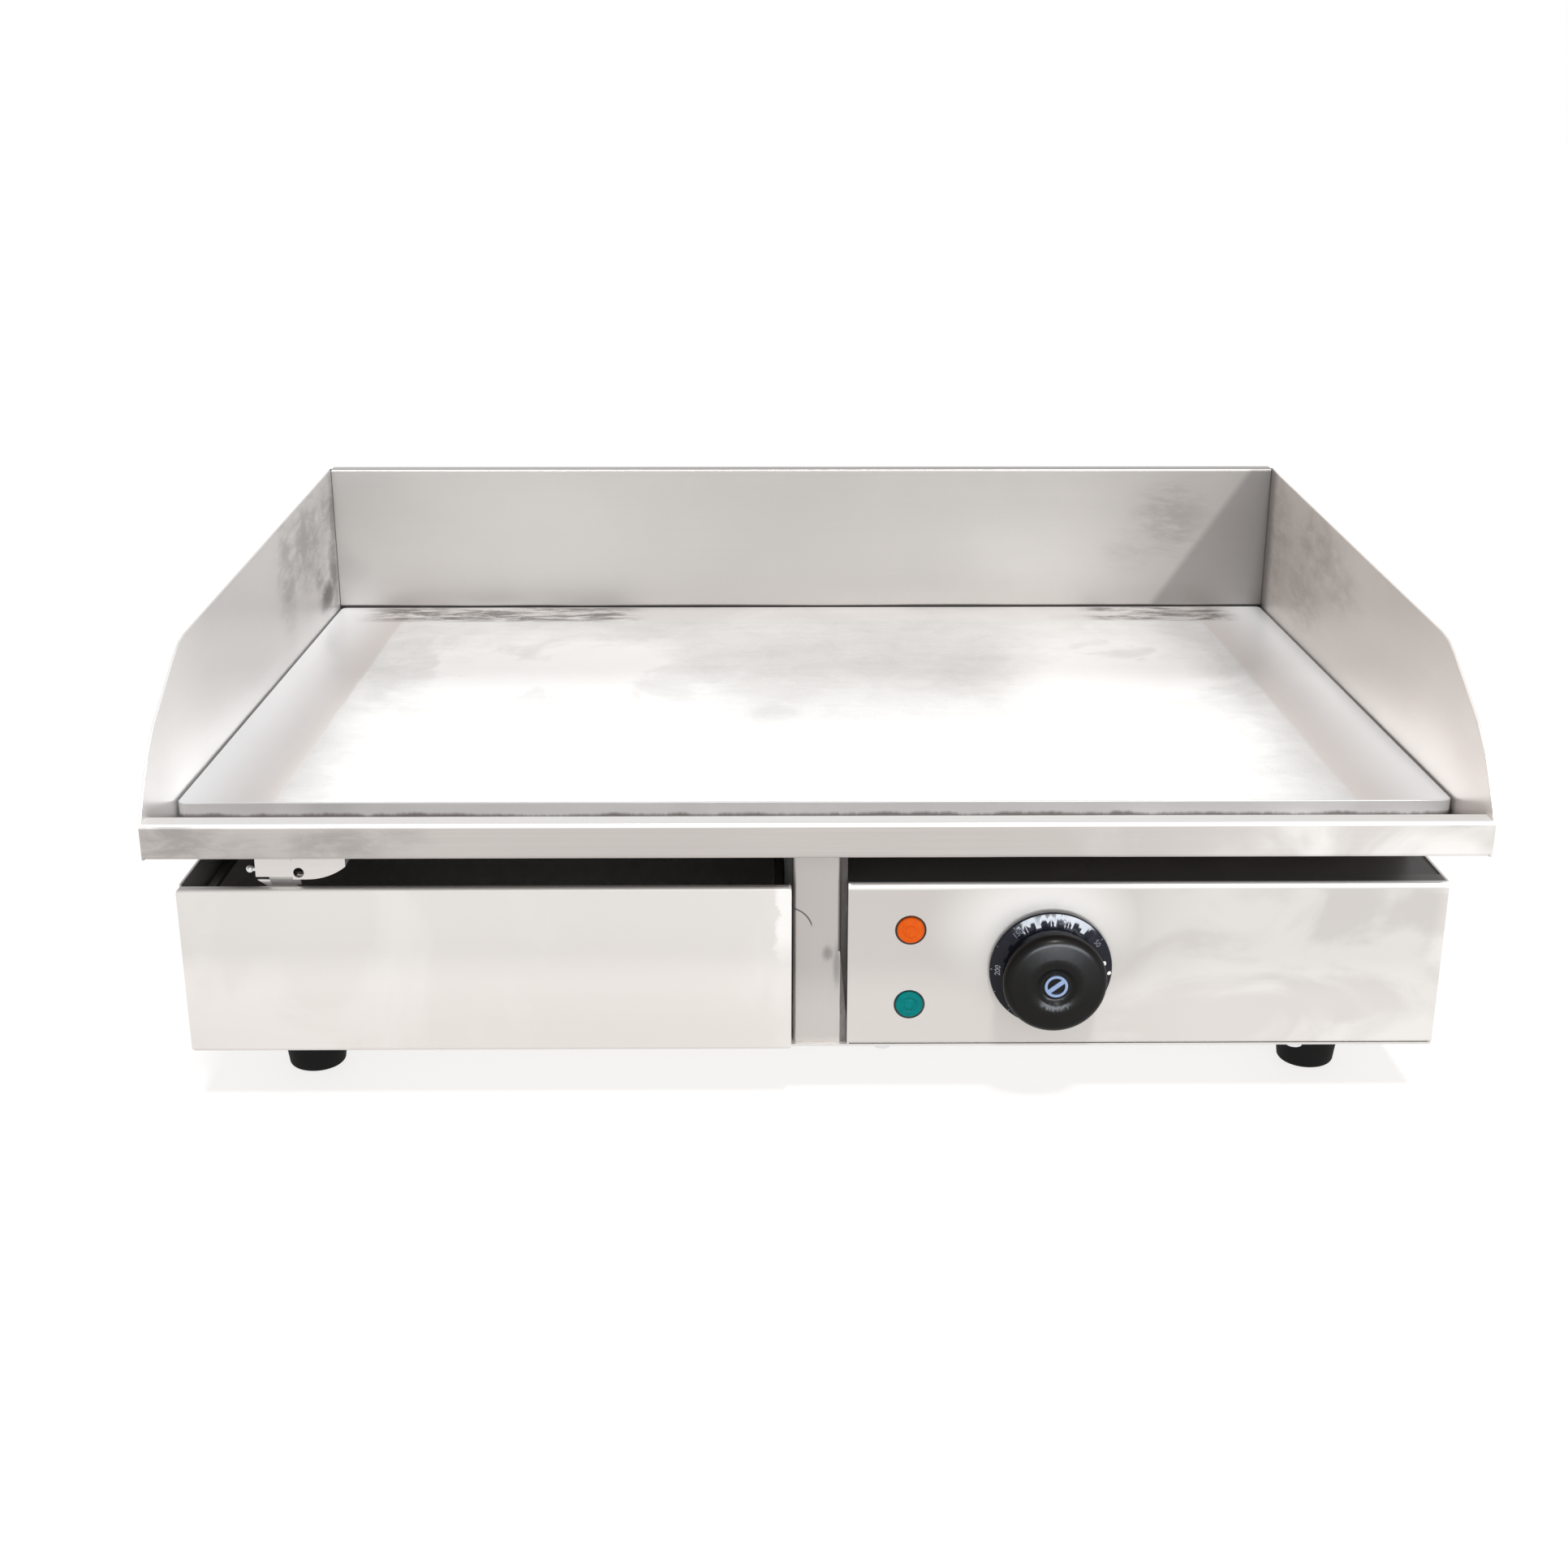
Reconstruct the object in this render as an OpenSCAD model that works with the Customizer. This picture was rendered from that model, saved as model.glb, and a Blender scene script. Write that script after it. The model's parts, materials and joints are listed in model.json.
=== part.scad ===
// Counter-top electric griddle: a flat steel cooking plate in a shallow tray with a front
// grease gutter and splash guards, over a sheet-metal case with a grease drawer on the left
// and the controls on the right.
// The origin is at the middle of the footprint, on the surface that the feet stand on.
// X runs to the right seen from the front, Y to the back, Z up. Millimetres.

/* [Overall size] */
// Width across the two side guards
width = 550; // [540:5:600]
// Depth from the front apron to the outer end of the cable gland
depth = 430; // [430:5:480]
// Thickness of the folded stainless sheet
sheet_t = 1; // [0.8:0.1:1.2]

/* [Case] */
// Height of the rubber feet
foot_h = 28; // [24:1:34]
// Height of the case at the drawer and the control panel
case_h = 78; // [76:1:86]
// Height of the open recess between the case front and the tray
recess_h = 28; // [26:1:34]
// Depth of that recess behind the control panel
recess_d = 52; // [48:1:60]

/* [Griddle] */
// Depth of the cooking plate
plate_d = 350; // [340:5:350]
// Thickness of the cooking plate
plate_t = 8; // [6:1:9]
// Width of the grease gutter in front of the plate
gutter_w = 35; // [32:1:36]
// Width of the folded lip in front of the gutter
lip_w = 10; // [9:1:12]
// Height of the front apron
apron_h = 15.5; // [13:0.5:18]
// Height of the back splash above the plate
splash_h = 82; // [60:1:110]
// Height of the side guards above the plate where their front slope starts
guard_h = 63; // [50:1:80]

/* [Drawer] */
// How far the drawer front stands proud of the control panel
drawer_proud = 5; // [4:0.5:6]
// Depth of the drawer pan
drawer_d = 284; // [240:1:290]
// Height of the drawer pan's walls
drawer_wall_h = 62; // [50:1:63]

/* [Controls] */
// Diameter of the dial under the knob
dial_d = 54; // [48:1:58]
// Diameter of the knob grip at its widest
grip_d = 45; // [41:1:46]
// How far the knob stands out from the panel
knob_out = 22.5; // [22:0.5:27]
// Diameter of the pilot lamp lenses
lens_d = 13; // [10:0.5:14]

/* [Hidden] */
$fn = 48;
eps = 0.01;

// Finishes
STAINLESS = [0.80, 0.79, 0.77];
PLATE_STEEL = [0.86, 0.86, 0.85];
DARK_STEEL = [0.16, 0.155, 0.15];
ZINC = [0.70, 0.71, 0.72];
BRASS = [0.78, 0.62, 0.32];
COPPER = [0.72, 0.45, 0.32];
BAKELITE = [0.07, 0.07, 0.07];
RUBBER = [0.05, 0.05, 0.05];
CERAMIC = [0.92, 0.91, 0.87];

// Levels
case_z = foot_h;                         // underside of the case
case_top = case_z + case_h;              // top of the drawer front and control panel
tray_z = case_top + recess_h;            // underside of the tray
plate_z = tray_z + sheet_t;              // underside of the cooking plate
cook_z = plate_z + plate_t;              // cooking surface
lip_z = tray_z + apron_h;                // top of the front lip
floor_z = case_z + sheet_t;              // top of the base pan
panel_mid = case_z + case_h / 2 - 0.7;   // height of the knob's axis

// Planes from front to back
front_y = -depth / 2;                    // face of the apron
plate_y = front_y + lip_w + gutter_w;    // front edge of the plate
plate_back = plate_y + plate_d;
plate_mid = plate_y + plate_d / 2;
splash_y = plate_back + 1;               // face of the back splash
panel_y = plate_y - 2;                   // face of the control panel
drawer_y = panel_y - drawer_proud;       // face of the drawer front
recess_y = panel_y + recess_d;           // face of the recess wall
gutter_back = recess_y + 8;              // back edge of the gutter sheet, under the plate
gland_out = 15;                          // reach of the cable gland behind the case
rear_y = depth / 2 - gland_out;          // outer face of the rear panel

// Planes from side to side
side_x = width / 2;                      // outer faces of the guards and side panels
in_x = side_x - sheet_t;                 // their inner faces
plate_x = in_x - 1;                      // half the plate's width
ledge_w = 22;                            // width of the ledges that carry the plate
pan_x = in_x - ledge_w + 5;              // outer half width of the heat pan
post_x = [-10, 10.8];                    // sides of the centre post
drawer_right = post_x[0] - 0.6;          // right-hand end of the drawer front
drawer_top = case_top + 0.3;
panel_left = post_x[1] + 3.3;            // left-hand end of the control panel

// Heating stack under the plate
element_r = 4;
element_z = plate_z - element_r - 0.2;   // axis of the element tubes
clamp_t = 2;
clamp_z = element_z - element_r - 0.3 - clamp_t;
stud_r = 3;
stud_len = 16.2;
heat_pan_z = tray_z - 26;
pan_y = [recess_y + 3, plate_back - 7];  // front and back of the heat pan
heat_y = (pan_y[0] + pan_y[1]) / 2;      // middle of the heating stack
leg_pitch = 48;                          // distance between neighbouring element legs
bulb_y = heat_y - leg_pitch;             // the sensor lies between the front and middle elements
bulb_r = 3;
bulb_z = plate_z - bulb_r - 0.1;
bend_r = leg_pitch / 2;
leg_left = -in_x + 59;                   // where the hairpin bends start
drop_x = pan_x - 23;                     // where the element ends turn down
drop_r = 12;
element_end_z = heat_pan_z - 10;
element_rows = [-leg_pitch * 2, 0, leg_pitch * 2];   // hairpin centres from the stack's middle
stud_x = [-190, 0, 190];

// Controls
knob_x = 103;
lamp_x = 41.5;
lamp_spread = 17.75;                     // height of each lamp above or below the panel's middle
shaft_r = 3;
dial_gap = 1.5;                          // clearance between the panel and the dial

// Drawer and chute
pan_left = -in_x + 7;
pan_right = drawer_right - 6.4;
pan_z = floor_z + 5;
drawer_rim = pan_z + drawer_wall_h;      // top of the drawer pan
grip_foot = 20;                          // radius of the grip where it meets the skirt
chute_x = [-235, -219.5];                // sides of the chute's end block
drain_x = chute_x[1] + 7;                // middle of the drain slot
drain_y = plate_y - 17;

// Feet and rear fittings
foot_x = side_x - 43;
foot_front = plate_y + 42;
foot_back = rear_y - 32;
gland_x = side_x - 60;
gland_z = case_z + 34;
bond_x = gland_x - 50;
terminal_x = gland_x - 23;
screw_r = 2;
bend_in = 0.7;                           // inside radius of the folds in the sheet
side_screw_z = [case_z + 30, tray_z - 16];   // screws into the side panels' rear edges

// ---------------------------------------------------------------- helpers

// A box between two limits on each axis
module slab(x, y, z) {
    translate([x[0], y[0], z[0]]) cube([x[1] - x[0], y[1] - y[0], z[1] - z[0]]);
}

// Stands a Y-Z outline up and extrudes it along X
module along_x(x0, x1) {
    translate([x0, 0, 0]) rotate([90, 0, 90]) linear_extrude(x1 - x0) children();
}

// A round bar along Y
module bar_y(x, z, r, y) {
    translate([x, y[1], z]) rotate([90, 0, 0]) cylinder(r = r, h = y[1] - y[0]);
}

// A round bar along X
module bar_x(y, z, r, x) {
    translate([x[0], y, z]) rotate([0, 90, 0]) cylinder(r = r, h = x[1] - x[0]);
}

// A slot with round ends through a sheet that faces along X, running along Y
module slot_through_x(y, z, len, w, x) {
    slab(x, [y - (len - w) / 2, y + (len - w) / 2], [z - w / 2, z + w / 2]);
    for (s = [-1, 1]) bar_x(y + s * (len - w) / 2, z, w / 2, x);
}

// A slot with round ends through a sheet that faces along Y, running along X
module slot_through_y(x, z, len, w, y) {
    slab([x - (len - w) / 2, x + (len - w) / 2], y, [z - w / 2, z + w / 2]);
    for (s = [-1, 1]) bar_y(x + s * (len - w) / 2, z, w / 2, y);
}

// A slot with round ends through a level sheet, running along X
module slot_through_z(x, y, len, w, z) {
    slab([x - (len - w) / 2, x + (len - w) / 2], [y - w / 2, y + w / 2], z);
    for (s = [-1, 1]) translate([x + s * (len - w) / 2, y, z[0]]) cylinder(d = w, h = z[1] - z[0]);
}

function unit(v) = v / norm(v);
function right_of(a, b) = let (d = unit(b - a)) [d[1], -d[0]];
function mitre(n1, n2, t) = t * (n1 + n2) / (1 + n1 * n2);

function turn_of(a, b, c) = let (d = unit(b - a), e = unit(c - b)) d[0] * e[1] - d[1] * e[0];

// One corner of a folded path as a short arc; t > 0 puts the metal on the path's right
function bend(a, b, c, t) =
    let (turn = turn_of(a, b, c), r = turn * t < 0 ? bend_in + abs(t) : bend_in,
         d = unit(b - a), e = unit(c - b), angle = acos(d * e), cut = r * tan(angle / 2),
         side = turn > 0 ? 1 : -1, centre = b - cut * d + side * r * [-d[1], d[0]],
         from = b - cut * d - centre)
    [for (i = [0:3]) let (k = side * angle * i / 3)
        centre + [from[0] * cos(k) - from[1] * sin(k), from[0] * sin(k) + from[1] * cos(k)]];

// The outline of a sheet of thickness t that follows a path, with its metal on the path's right
function folded(corners, t) =
    let (n = len(corners) - 1,
         path = [corners[0], for (i = [1:n - 1])
             each bend(corners[i - 1], corners[i], corners[i + 1], t), corners[n]],
         last = len(path) - 1,
         side = [for (i = [0:last])
             i == 0 ? t * right_of(path[0], path[1])
             : i == last ? t * right_of(path[last - 1], path[last])
             : mitre(right_of(path[i - 1], path[i]), right_of(path[i], path[i + 1]), t)])
    concat(path, [for (i = [last:-1:0]) path[i] + side[i]]);

// Points round one corner: centre, radius, first and last angle
function arc(c, r, a0, a1, n = 6) =
    [for (i = [0:n]) c + r * [cos(a0 + (a1 - a0) * i / n), sin(a0 + (a1 - a0) * i / n)]];

function rounded_rect(w, d, r) = concat(
    arc([w / 2 - r, d / 2 - r], r, 0, 90), arc([r - w / 2, d / 2 - r], r, 90, 180),
    arc([r - w / 2, r - d / 2], r, 180, 270), arc([w / 2 - r, r - d / 2], r, 270, 360));

// A point on the smooth curve through a list of points, t in pieces from the first point
function curve_at(p, t) =
    let (n = len(p), i = min(floor(t), n - 2), u = t - i,
         a = p[max(i - 1, 0)], b = p[i], c = p[i + 1], d = p[min(i + 2, n - 1)])
    0.5 * (2 * b + (c - a) * u + (2 * a - 5 * b + 4 * c - d) * u * u
           + (3 * b - a - 3 * c + d) * u * u * u);

// A wire or thin tube of radius r swept along the smooth curve through its points
module wire(points, r, steps = 4, sides = 8) {
    count = (len(points) - 1) * steps;
    line = [for (k = [0:count]) curve_at(points, k / steps)];
    function heading(k) = unit(line[min(k + 1, count)] - line[max(k - 1, 0)]);
    function across(k) =
        let (h = heading(k), ref = abs(h[2]) > 0.9 ? [0, 1, 0] : [0, 0, 1])
        unit(cross(h, ref));
    rings = [for (k = [0:count]) for (j = [0:sides - 1])
        let (h = heading(k), u = across(k), v = cross(h, u), a = 360 * j / sides)
        line[k] + r * (cos(a) * u + sin(a) * v)];
    walls = [for (k = [0:count - 1]) for (j = [0:sides - 1])
        let (a = k * sides + j, b = k * sides + (j + 1) % sides)
        [a, a + sides, b + sides, b]];
    ends = [[for (j = [0:sides - 1]) j], [for (j = [sides - 1:-1:0]) count * sides + j]];
    polyhedron(rings, concat(walls, ends), convexity = 6);
}

module hex_nut(r_flat, h, r_bore) {
    difference() {
        cylinder(r = r_flat / cos(30), h = h, $fn = 6);
        translate([0, 0, -eps]) cylinder(r = r_bore, h = h + 2 * eps);
    }
}

// ---------------------------------------------------------------- plate and heating stack

module griddle_plate() color(PLATE_STEEL)
    translate([0, plate_mid, plate_z])
        linear_extrude(plate_t) polygon(rounded_rect(2 * plate_x, plate_d, 4));

module at_studs() {
    for (x = stud_x) for (y = [element_rows[0], element_rows[2]])
        translate([x, heat_y + y, 0]) children();
}

module plate_studs() color(ZINC)
    at_studs() translate([0, 0, plate_z - stud_len]) cylinder(r = stud_r, h = stud_len);

module clamp_nuts() color(ZINC)
    at_studs() translate([0, 0, clamp_z - 5]) hex_nut(5, 5, stud_r + 0.05);

module element_clamp() color(ZINC)
    difference() {
        slab([-215, 215], [heat_y - 135, heat_y + 135], [clamp_z, clamp_z + clamp_t]);
        at_studs() translate([0, 0, clamp_z - 1]) cylinder(r = stud_r + 0.5, h = clamp_t + 2);
    }

// One hairpin element: two legs, a half-round bend on the left and two ends turned down on the right
module heating_element(row) color([0.30, 0.29, 0.28])
    translate([0, heat_y + row, element_z]) {
        for (s = [-1, 1]) {
            bar_x(s * bend_r, 0, element_r, [leg_left, drop_x - drop_r]);
            translate([drop_x - drop_r, s * bend_r, -drop_r]) rotate([90, 0, 0])
                rotate_extrude(angle = 90) translate([drop_r, 0]) circle(element_r);
            translate([drop_x, s * bend_r, element_end_z - element_z])
                cylinder(r = element_r, h = element_z - drop_r - element_end_z);
        }
        translate([leg_left, 0, 0]) rotate([0, 0, 90])
            rotate_extrude(angle = 180) translate([bend_r, 0]) circle(element_r);
    }

module at_element_ends() {
    for (row = element_rows) for (s = [-1, 1])
        translate([drop_x, heat_y + row + s * bend_r, element_end_z]) children();
}

// Ceramic collars with their threaded end pins
module element_insulators() color(CERAMIC)
    at_element_ends() {
        translate([0, 0, -6]) cylinder(r = 4.4, h = 6);
        translate([0, 0, -14]) cylinder(r = 2, h = 8);
    }

// Straps that join one element's end pin to the next element's
module element_links() color(BRASS)
    for (row = [-leg_pitch, leg_pitch])
        translate([drop_x, heat_y + row, element_end_z - 9])
            difference() {
                slab([-5, 5], [-bend_r - 6, bend_r + 6], [0, 1.5]);
                for (s = [-1, 1])
                    translate([0, s * bend_r, -1]) cylinder(r = 2.05, h = 4);
            }

module insulation_blanket() color([0.88, 0.86, 0.80])
    slab([-245, 220], [heat_y - 140, heat_y + 140], [heat_pan_z + sheet_t, heat_pan_z + 10]);

// Sheet pan that closes the heating stack from below
module heat_pan() color(ZINC)
    difference() {
        slab([-pan_x, pan_x], pan_y, [heat_pan_z, tray_z]);
        slab([-pan_x + sheet_t, pan_x - sheet_t], [pan_y[0] + sheet_t, pan_y[1] - sheet_t],
             [heat_pan_z + sheet_t, tray_z + 1]);
        at_element_ends() cylinder(r = element_r + 1, h = 20);
        translate([244, bulb_y, heat_pan_z - 1]) cylinder(r = 3, h = 4);
    }

module recess_wall() color(DARK_STEEL)
    slab([-in_x, in_x], [recess_y, recess_y + sheet_t], [case_top - sheet_t, tray_z]);

// ---------------------------------------------------------------- tray and splash guards

// Apron, lip and gutter floor from one folded sheet
module front_gutter() color(STAINLESS) {
    lip_back = front_y + lip_w;
    section = folded([[front_y + 7, tray_z], [front_y, tray_z], [front_y, lip_z],
                      [lip_back, lip_z], [lip_back, plate_z], [gutter_back, plate_z]], sheet_t);
    difference() {
        union() {
            along_x(-in_x, in_x) polygon(section);
            for (s = [-1, 1])
                slab(s > 0 ? [in_x, side_x] : [-side_x, -in_x],
                     [front_y, front_y + sheet_t], [tray_z, lip_z]);
        }
        slot_through_z(drain_x, drain_y, 22, 11, [tray_z - 1, plate_z + 1]);
    }
}

// Angle welded under the plate's side edge
module side_ledge() {
    section = folded([[in_x, tray_z - 8], [in_x, plate_z], [in_x - ledge_w, plate_z]], -sheet_t);
    translate([0, splash_y, 0]) rotate([90, 0, 0]) linear_extrude(splash_y - gutter_back)
        polygon(section);
}

module plate_ledge_right() color(ZINC) side_ledge();

module plate_ledge_left() color(ZINC) mirror([1, 0, 0]) side_ledge();

module plate_ledge_rear() color(ZINC)
    along_x(-in_x + ledge_w, in_x - ledge_w)
        polygon(folded([[splash_y - 16, plate_z], [splash_y, plate_z], [splash_y, tray_z - 8]], sheet_t));

// Side guard: a nearly level top edge, a rounded brow and a front slope down to the lip
module side_guard() {
    back = splash_y + 2 * sheet_t;
    front = front_y + sheet_t;
    brow = [plate_y + 27, cook_z + guard_h];
    outline = concat(
        [[front, tray_z], [back, tray_z], [back, cook_z + splash_h],
         brow + [14, 0.9], brow + [4, -0.6], brow + [-5, -4.2]],
        [[plate_y - 14, lip_z + 33], [plate_y - 26, lip_z + 24],
         [plate_y - 36, lip_z + 12], [front, lip_z + 0.5]]);
    along_x(in_x, side_x) polygon(outline);
    slab([in_x - 12, in_x + eps], [splash_y + sheet_t, back], [tray_z + 2, cook_z + splash_h - 4]);
}

module right_guard() color(STAINLESS) side_guard();

module left_guard() color(STAINLESS) mirror([1, 0, 0]) side_guard();

module back_splash() color(STAINLESS) {
    top = cook_z + splash_h;
    along_x(-in_x, in_x)
        polygon(folded([[splash_y, tray_z - 8], [splash_y, top],
                        [splash_y + 10, top], [splash_y + 10, top - 11]], sheet_t));
}

// ---------------------------------------------------------------- grease drain

// Scoop under the drain slot, its end block, and the ramp and tail that lead grease down into
// the drawer behind its front
module drain_chute() color(STAINLESS) {
    y = [drain_y - 8, drain_y + 8];
    low = tray_z - 16.3;
    wall = 1.2;
    scoop = concat([[chute_x[1], tray_z], [chute_x[1], low]],
                   arc([chute_x[1] + 6, low + 26], 26, 270, 308.5, 8), [[chute_x[1] + 22.2, tray_z]]);
    tail_y = panel_y + 0.6;
    tail_top = case_top + 2.4;
    tail_low = drawer_rim + 2.5;
    difference() {
        union() {
            // end block
            slab(chute_x, y, [low + wall, tray_z]);
            // scoop
            translate([0, y[1], 0]) rotate([90, 0, 0]) linear_extrude(y[1] - y[0]) polygon(scoop);
        }
        // hollow of the scoop, open to the slot above
        slab([chute_x[1] - 4, chute_x[1] + 10], [y[0] + wall, y[1] - wall], [low + 2 * wall, tray_z + 1]);
        slab([chute_x[1] + 9, chute_x[1] + 18], [y[0] + wall, y[1] - wall], [low + 4 * wall, tray_z + 1]);
        // front mouth
        bar_y(chute_x[1] + 2.5, low + 3, 2.2, [y[0] - 1, y[0] + 3]);
        // way out of the scoop onto the ramp
        slab([chute_x[0] + wall, chute_x[1] - wall], [drain_y, y[1] + 1], [low + 2 * wall, low + 9]);
    }
    // steep ramp behind the block
    along_x(chute_x[0], chute_x[1] - 2.5)
        polygon([[y[1] - 1, low + 2 * wall], [tail_y, tail_top], [tail_y, tail_top - 2 * wall],
                 [y[1] - 1, low + wall + eps]]);
    // tail, cut aslant, that hangs behind the top of the drawer front
    translate([0, tail_y + wall, 0]) rotate([90, 0, 0]) linear_extrude(wall)
        polygon([[chute_x[0] - 6, tail_top], [chute_x[1] - 9.2, tail_top], [chute_x[1], tail_low + 4],
                 [chute_x[1], tail_low], [chute_x[0] + 8, tail_low]]);
}

// Pin through the end block, with a round head on the left
module chute_pin() color(ZINC)
    translate([chute_x[0], drain_y - 4, tray_z - 13]) rotate([0, -90, 0])
        rotate_extrude() polygon(concat([[0, 0], [0.9, 0]], arc([0, 3.2], 1.6, -55.8, 90, 10)));

// ---------------------------------------------------------------- case

// Side of the case: low at the front for the recess, full height behind it, with louvre slots
module side_panel() {
    front = panel_y + sheet_t;
    difference() {
        along_x(in_x, side_x)
            polygon([[front, case_z], [rear_y - sheet_t, case_z], [rear_y - sheet_t, tray_z],
                     [recess_y, tray_z], [recess_y, case_top], [front, case_top]]);
        for (row = [0:3]) for (col = [0:2])
            slot_through_x(10 + 54 * col, case_z + 30 + 11 * row, 42, 4, [in_x - 1, side_x + 1]);
    }
    // folded front edge
    slab([in_x - 3.5, in_x + eps], [front, front + sheet_t], [floor_z + 2, case_top - 2]);
    // folded rear edge
    difference() {
        slab([in_x - 12, in_x + eps], [rear_y - 2 * sheet_t, rear_y - sheet_t], [floor_z + 12, tray_z - 2]);
        for (z = side_screw_z) bar_y(in_x - 6, z, screw_r + 0.05, [rear_y - 3, rear_y]);
    }
}

module right_side_panel() color(STAINLESS) side_panel();

module left_side_panel() color(STAINLESS) mirror([1, 0, 0]) side_panel();

module rear_panel() color(STAINLESS)
    difference() {
        along_x(-side_x, side_x)
            polygon(folded([[splash_y + 1, tray_z], [rear_y, tray_z], [rear_y, case_z]], sheet_t));
        for (row = [0:3]) for (col = [-3:0])
            slot_through_y(-20 + 62 * col, case_z + 30 + 11 * row, 48, 4, [rear_y - 3, rear_y + 1]);
        for (x = [[-side_x - 1, -in_x], [in_x, side_x + 1]])
            slab(x, [splash_y, rear_y - sheet_t], [case_z - 1, tray_z + 1]);
        bar_y(gland_x, gland_z, 8.1, [rear_y - 3, rear_y + 1]);
        bar_y(bond_x, gland_z, 2.05, [rear_y - 3, rear_y + 1]);
        at_rear_screws() bar_y(0, 0, screw_r + 0.05, [rear_y - 3, rear_y + 1]);
    }

module at_feet() {
    for (x = [-foot_x, foot_x]) for (y = [foot_front, foot_back]) translate([x, y, 0]) children();
}

module base_pan() color(STAINLESS) {
    rear = rear_y - sheet_t;
    difference() {
        union() {
            slab([-in_x, in_x], [panel_y + 0.5, rear], [case_z, floor_z]);
            for (s = [-1, 1])
                slab(s > 0 ? [in_x - sheet_t, in_x] : [-in_x, sheet_t - in_x],
                     [panel_y + 10, rear], [case_z, floor_z + 11]);
            slab([-in_x, in_x], [rear - sheet_t, rear], [case_z, floor_z + 11]);
        }
        at_feet() translate([0, 0, case_z - 1]) cylinder(r = 2.7, h = 4);
        for (row = [0:3]) for (col = [0:1])
            slot_through_z(95 + 70 * col, -20 + 26 * row, 52, 5, [case_z - 1, floor_z + 1]);
        at_base_screws() translate([0, 0, case_z - 1]) cylinder(r = screw_r + 0.05, h = 4);
        at_rear_screws() bar_y(0, 0, screw_r + 0.05, [rear_y - 3, rear_y + 1]);
    }
}

// Post between the drawer and the control panel, with a step that runs behind the panel's edge
module centre_post() color(STAINLESS) {
    face_y = plate_y + 1;
    translate([0, 0, floor_z]) linear_extrude(tray_z - floor_z)
        polygon(folded([[post_x[0], panel_y + 20], [post_x[0], face_y], [post_x[1], face_y],
                        [post_x[1], face_y + 3], [panel_left - 0.1, face_y + 3]], -sheet_t));
    // the face widens towards its foot
    translate([0, face_y + sheet_t, 0]) rotate([90, 0, 0]) linear_extrude(sheet_t)
        polygon([[post_x[1] - 2.5, floor_z + 44], [post_x[1], floor_z + 44],
                 [panel_left - 0.1, floor_z + 11], [panel_left - 0.1, floor_z],
                 [post_x[1] - 2.5, floor_z]]);
}

// Wall between the drawer bay and the wiring
module bay_divider() color(ZINC)
    slab([post_x[1] - sheet_t, post_x[1]], [plate_y + 5, rear_y - 2 * sheet_t],
         [floor_z, case_top - sheet_t]);

module control_panel() color(STAINLESS)
    difference() {
        union() {
            along_x(panel_left, side_x)
                polygon(folded([[panel_y + 9, floor_z], [panel_y, floor_z], [panel_y, case_top],
                                [panel_y + 9, case_top]], sheet_t));
            slab([panel_left, panel_left + sheet_t], [panel_y + eps, panel_y + 24],
                 [floor_z + eps, case_top - eps]);
        }
        bar_y(knob_x, panel_mid, 5.5, [panel_y - 1, panel_y + 3]);
        for (s = [-1, 1]) {
            bar_y(lamp_x, panel_mid + s * lamp_spread, lens_d / 2 + 0.4, [panel_y - 1, panel_y + 3]);
            bar_y(knob_x + s * 14, panel_mid, screw_r + 0.05, [panel_y - 1, panel_y + 3]);
        }
        at_base_screws() translate([0, 0, case_z]) cylinder(r = screw_r + 0.05, h = 4);
        slab([in_x, side_x + 1], [panel_y + sheet_t, panel_y + 30], [case_z, case_top + 1]);
    }

// Lid over the wiring behind the control panel, in the recess
module control_cover() color(DARK_STEEL)
    slab([panel_left + sheet_t, in_x], [panel_y + 2 * sheet_t, recess_y + sheet_t],
         [case_top - 2 * sheet_t, case_top - sheet_t]);

// ---------------------------------------------------------------- grease drawer

module drawer_front() color(STAINLESS)
    difference() {
        intersection() {
            union() {
                along_x(-side_x, drawer_right)
                    polygon(folded([[panel_y, floor_z], [drawer_y, floor_z], [drawer_y, drawer_top],
                                    [drawer_y + 3, drawer_top]], sheet_t));
                for (x = [[-side_x, -in_x], [drawer_right - sheet_t, drawer_right]])
                    slab(x, [drawer_y + 0.5, panel_y], [floor_z + eps, drawer_top - eps]);
            }
            // rounded corners seen from the front
            translate([(drawer_right - side_x) / 2, panel_y + 6, (floor_z + drawer_top) / 2])
                rotate([90, 0, 0]) linear_extrude(drawer_proud + 7)
                    polygon(rounded_rect(drawer_right + side_x, drawer_top - floor_z, 2.2));
        }
        slab([-side_x - 1, 0.5 - in_x], [panel_y, panel_y + 9], [case_z, case_top + 2]);
    }

module drawer_pan() color(STAINLESS) {
    y = [drawer_y + sheet_t, drawer_y + sheet_t + drawer_d];
    top = pan_z + drawer_wall_h;
    difference() {
        slab([pan_left, pan_right], y, [pan_z, top]);
        slab([pan_left + sheet_t, pan_right - sheet_t], [y[0] + sheet_t, y[1] - sheet_t],
             [pan_z + sheet_t, top + 1]);
    }
    // stiffening flanges along the sides
    slab([pan_left - 3, pan_left + eps], [panel_y + 8, y[1]], [top - sheet_t, top]);
    slab([pan_right - eps, pan_right + 3], [panel_y + 8, y[1]], [top - sheet_t, top]);
}

// Angle that the drawer pan slides on; x is the outer face, s the side that it opens to
module drawer_runner(x, s) {
    section = folded([[x, floor_z + 17], [x, pan_z - 1.5], [x + s * 14, pan_z - 1.5]],
                     s > 0 ? -1.2 : 1.2);
    translate([0, 150, 0]) rotate([90, 0, 0]) linear_extrude(150 - panel_y - 8) polygon(section);
    for (y = [panel_y + 30, 110])
        slab(s > 0 ? [x, x + 9] : [x - 9, x], [y, y + 12], [floor_z, pan_z - 1.5]);
}

module drawer_runner_left() color(ZINC) drawer_runner(-in_x + sheet_t, 1);

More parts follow.
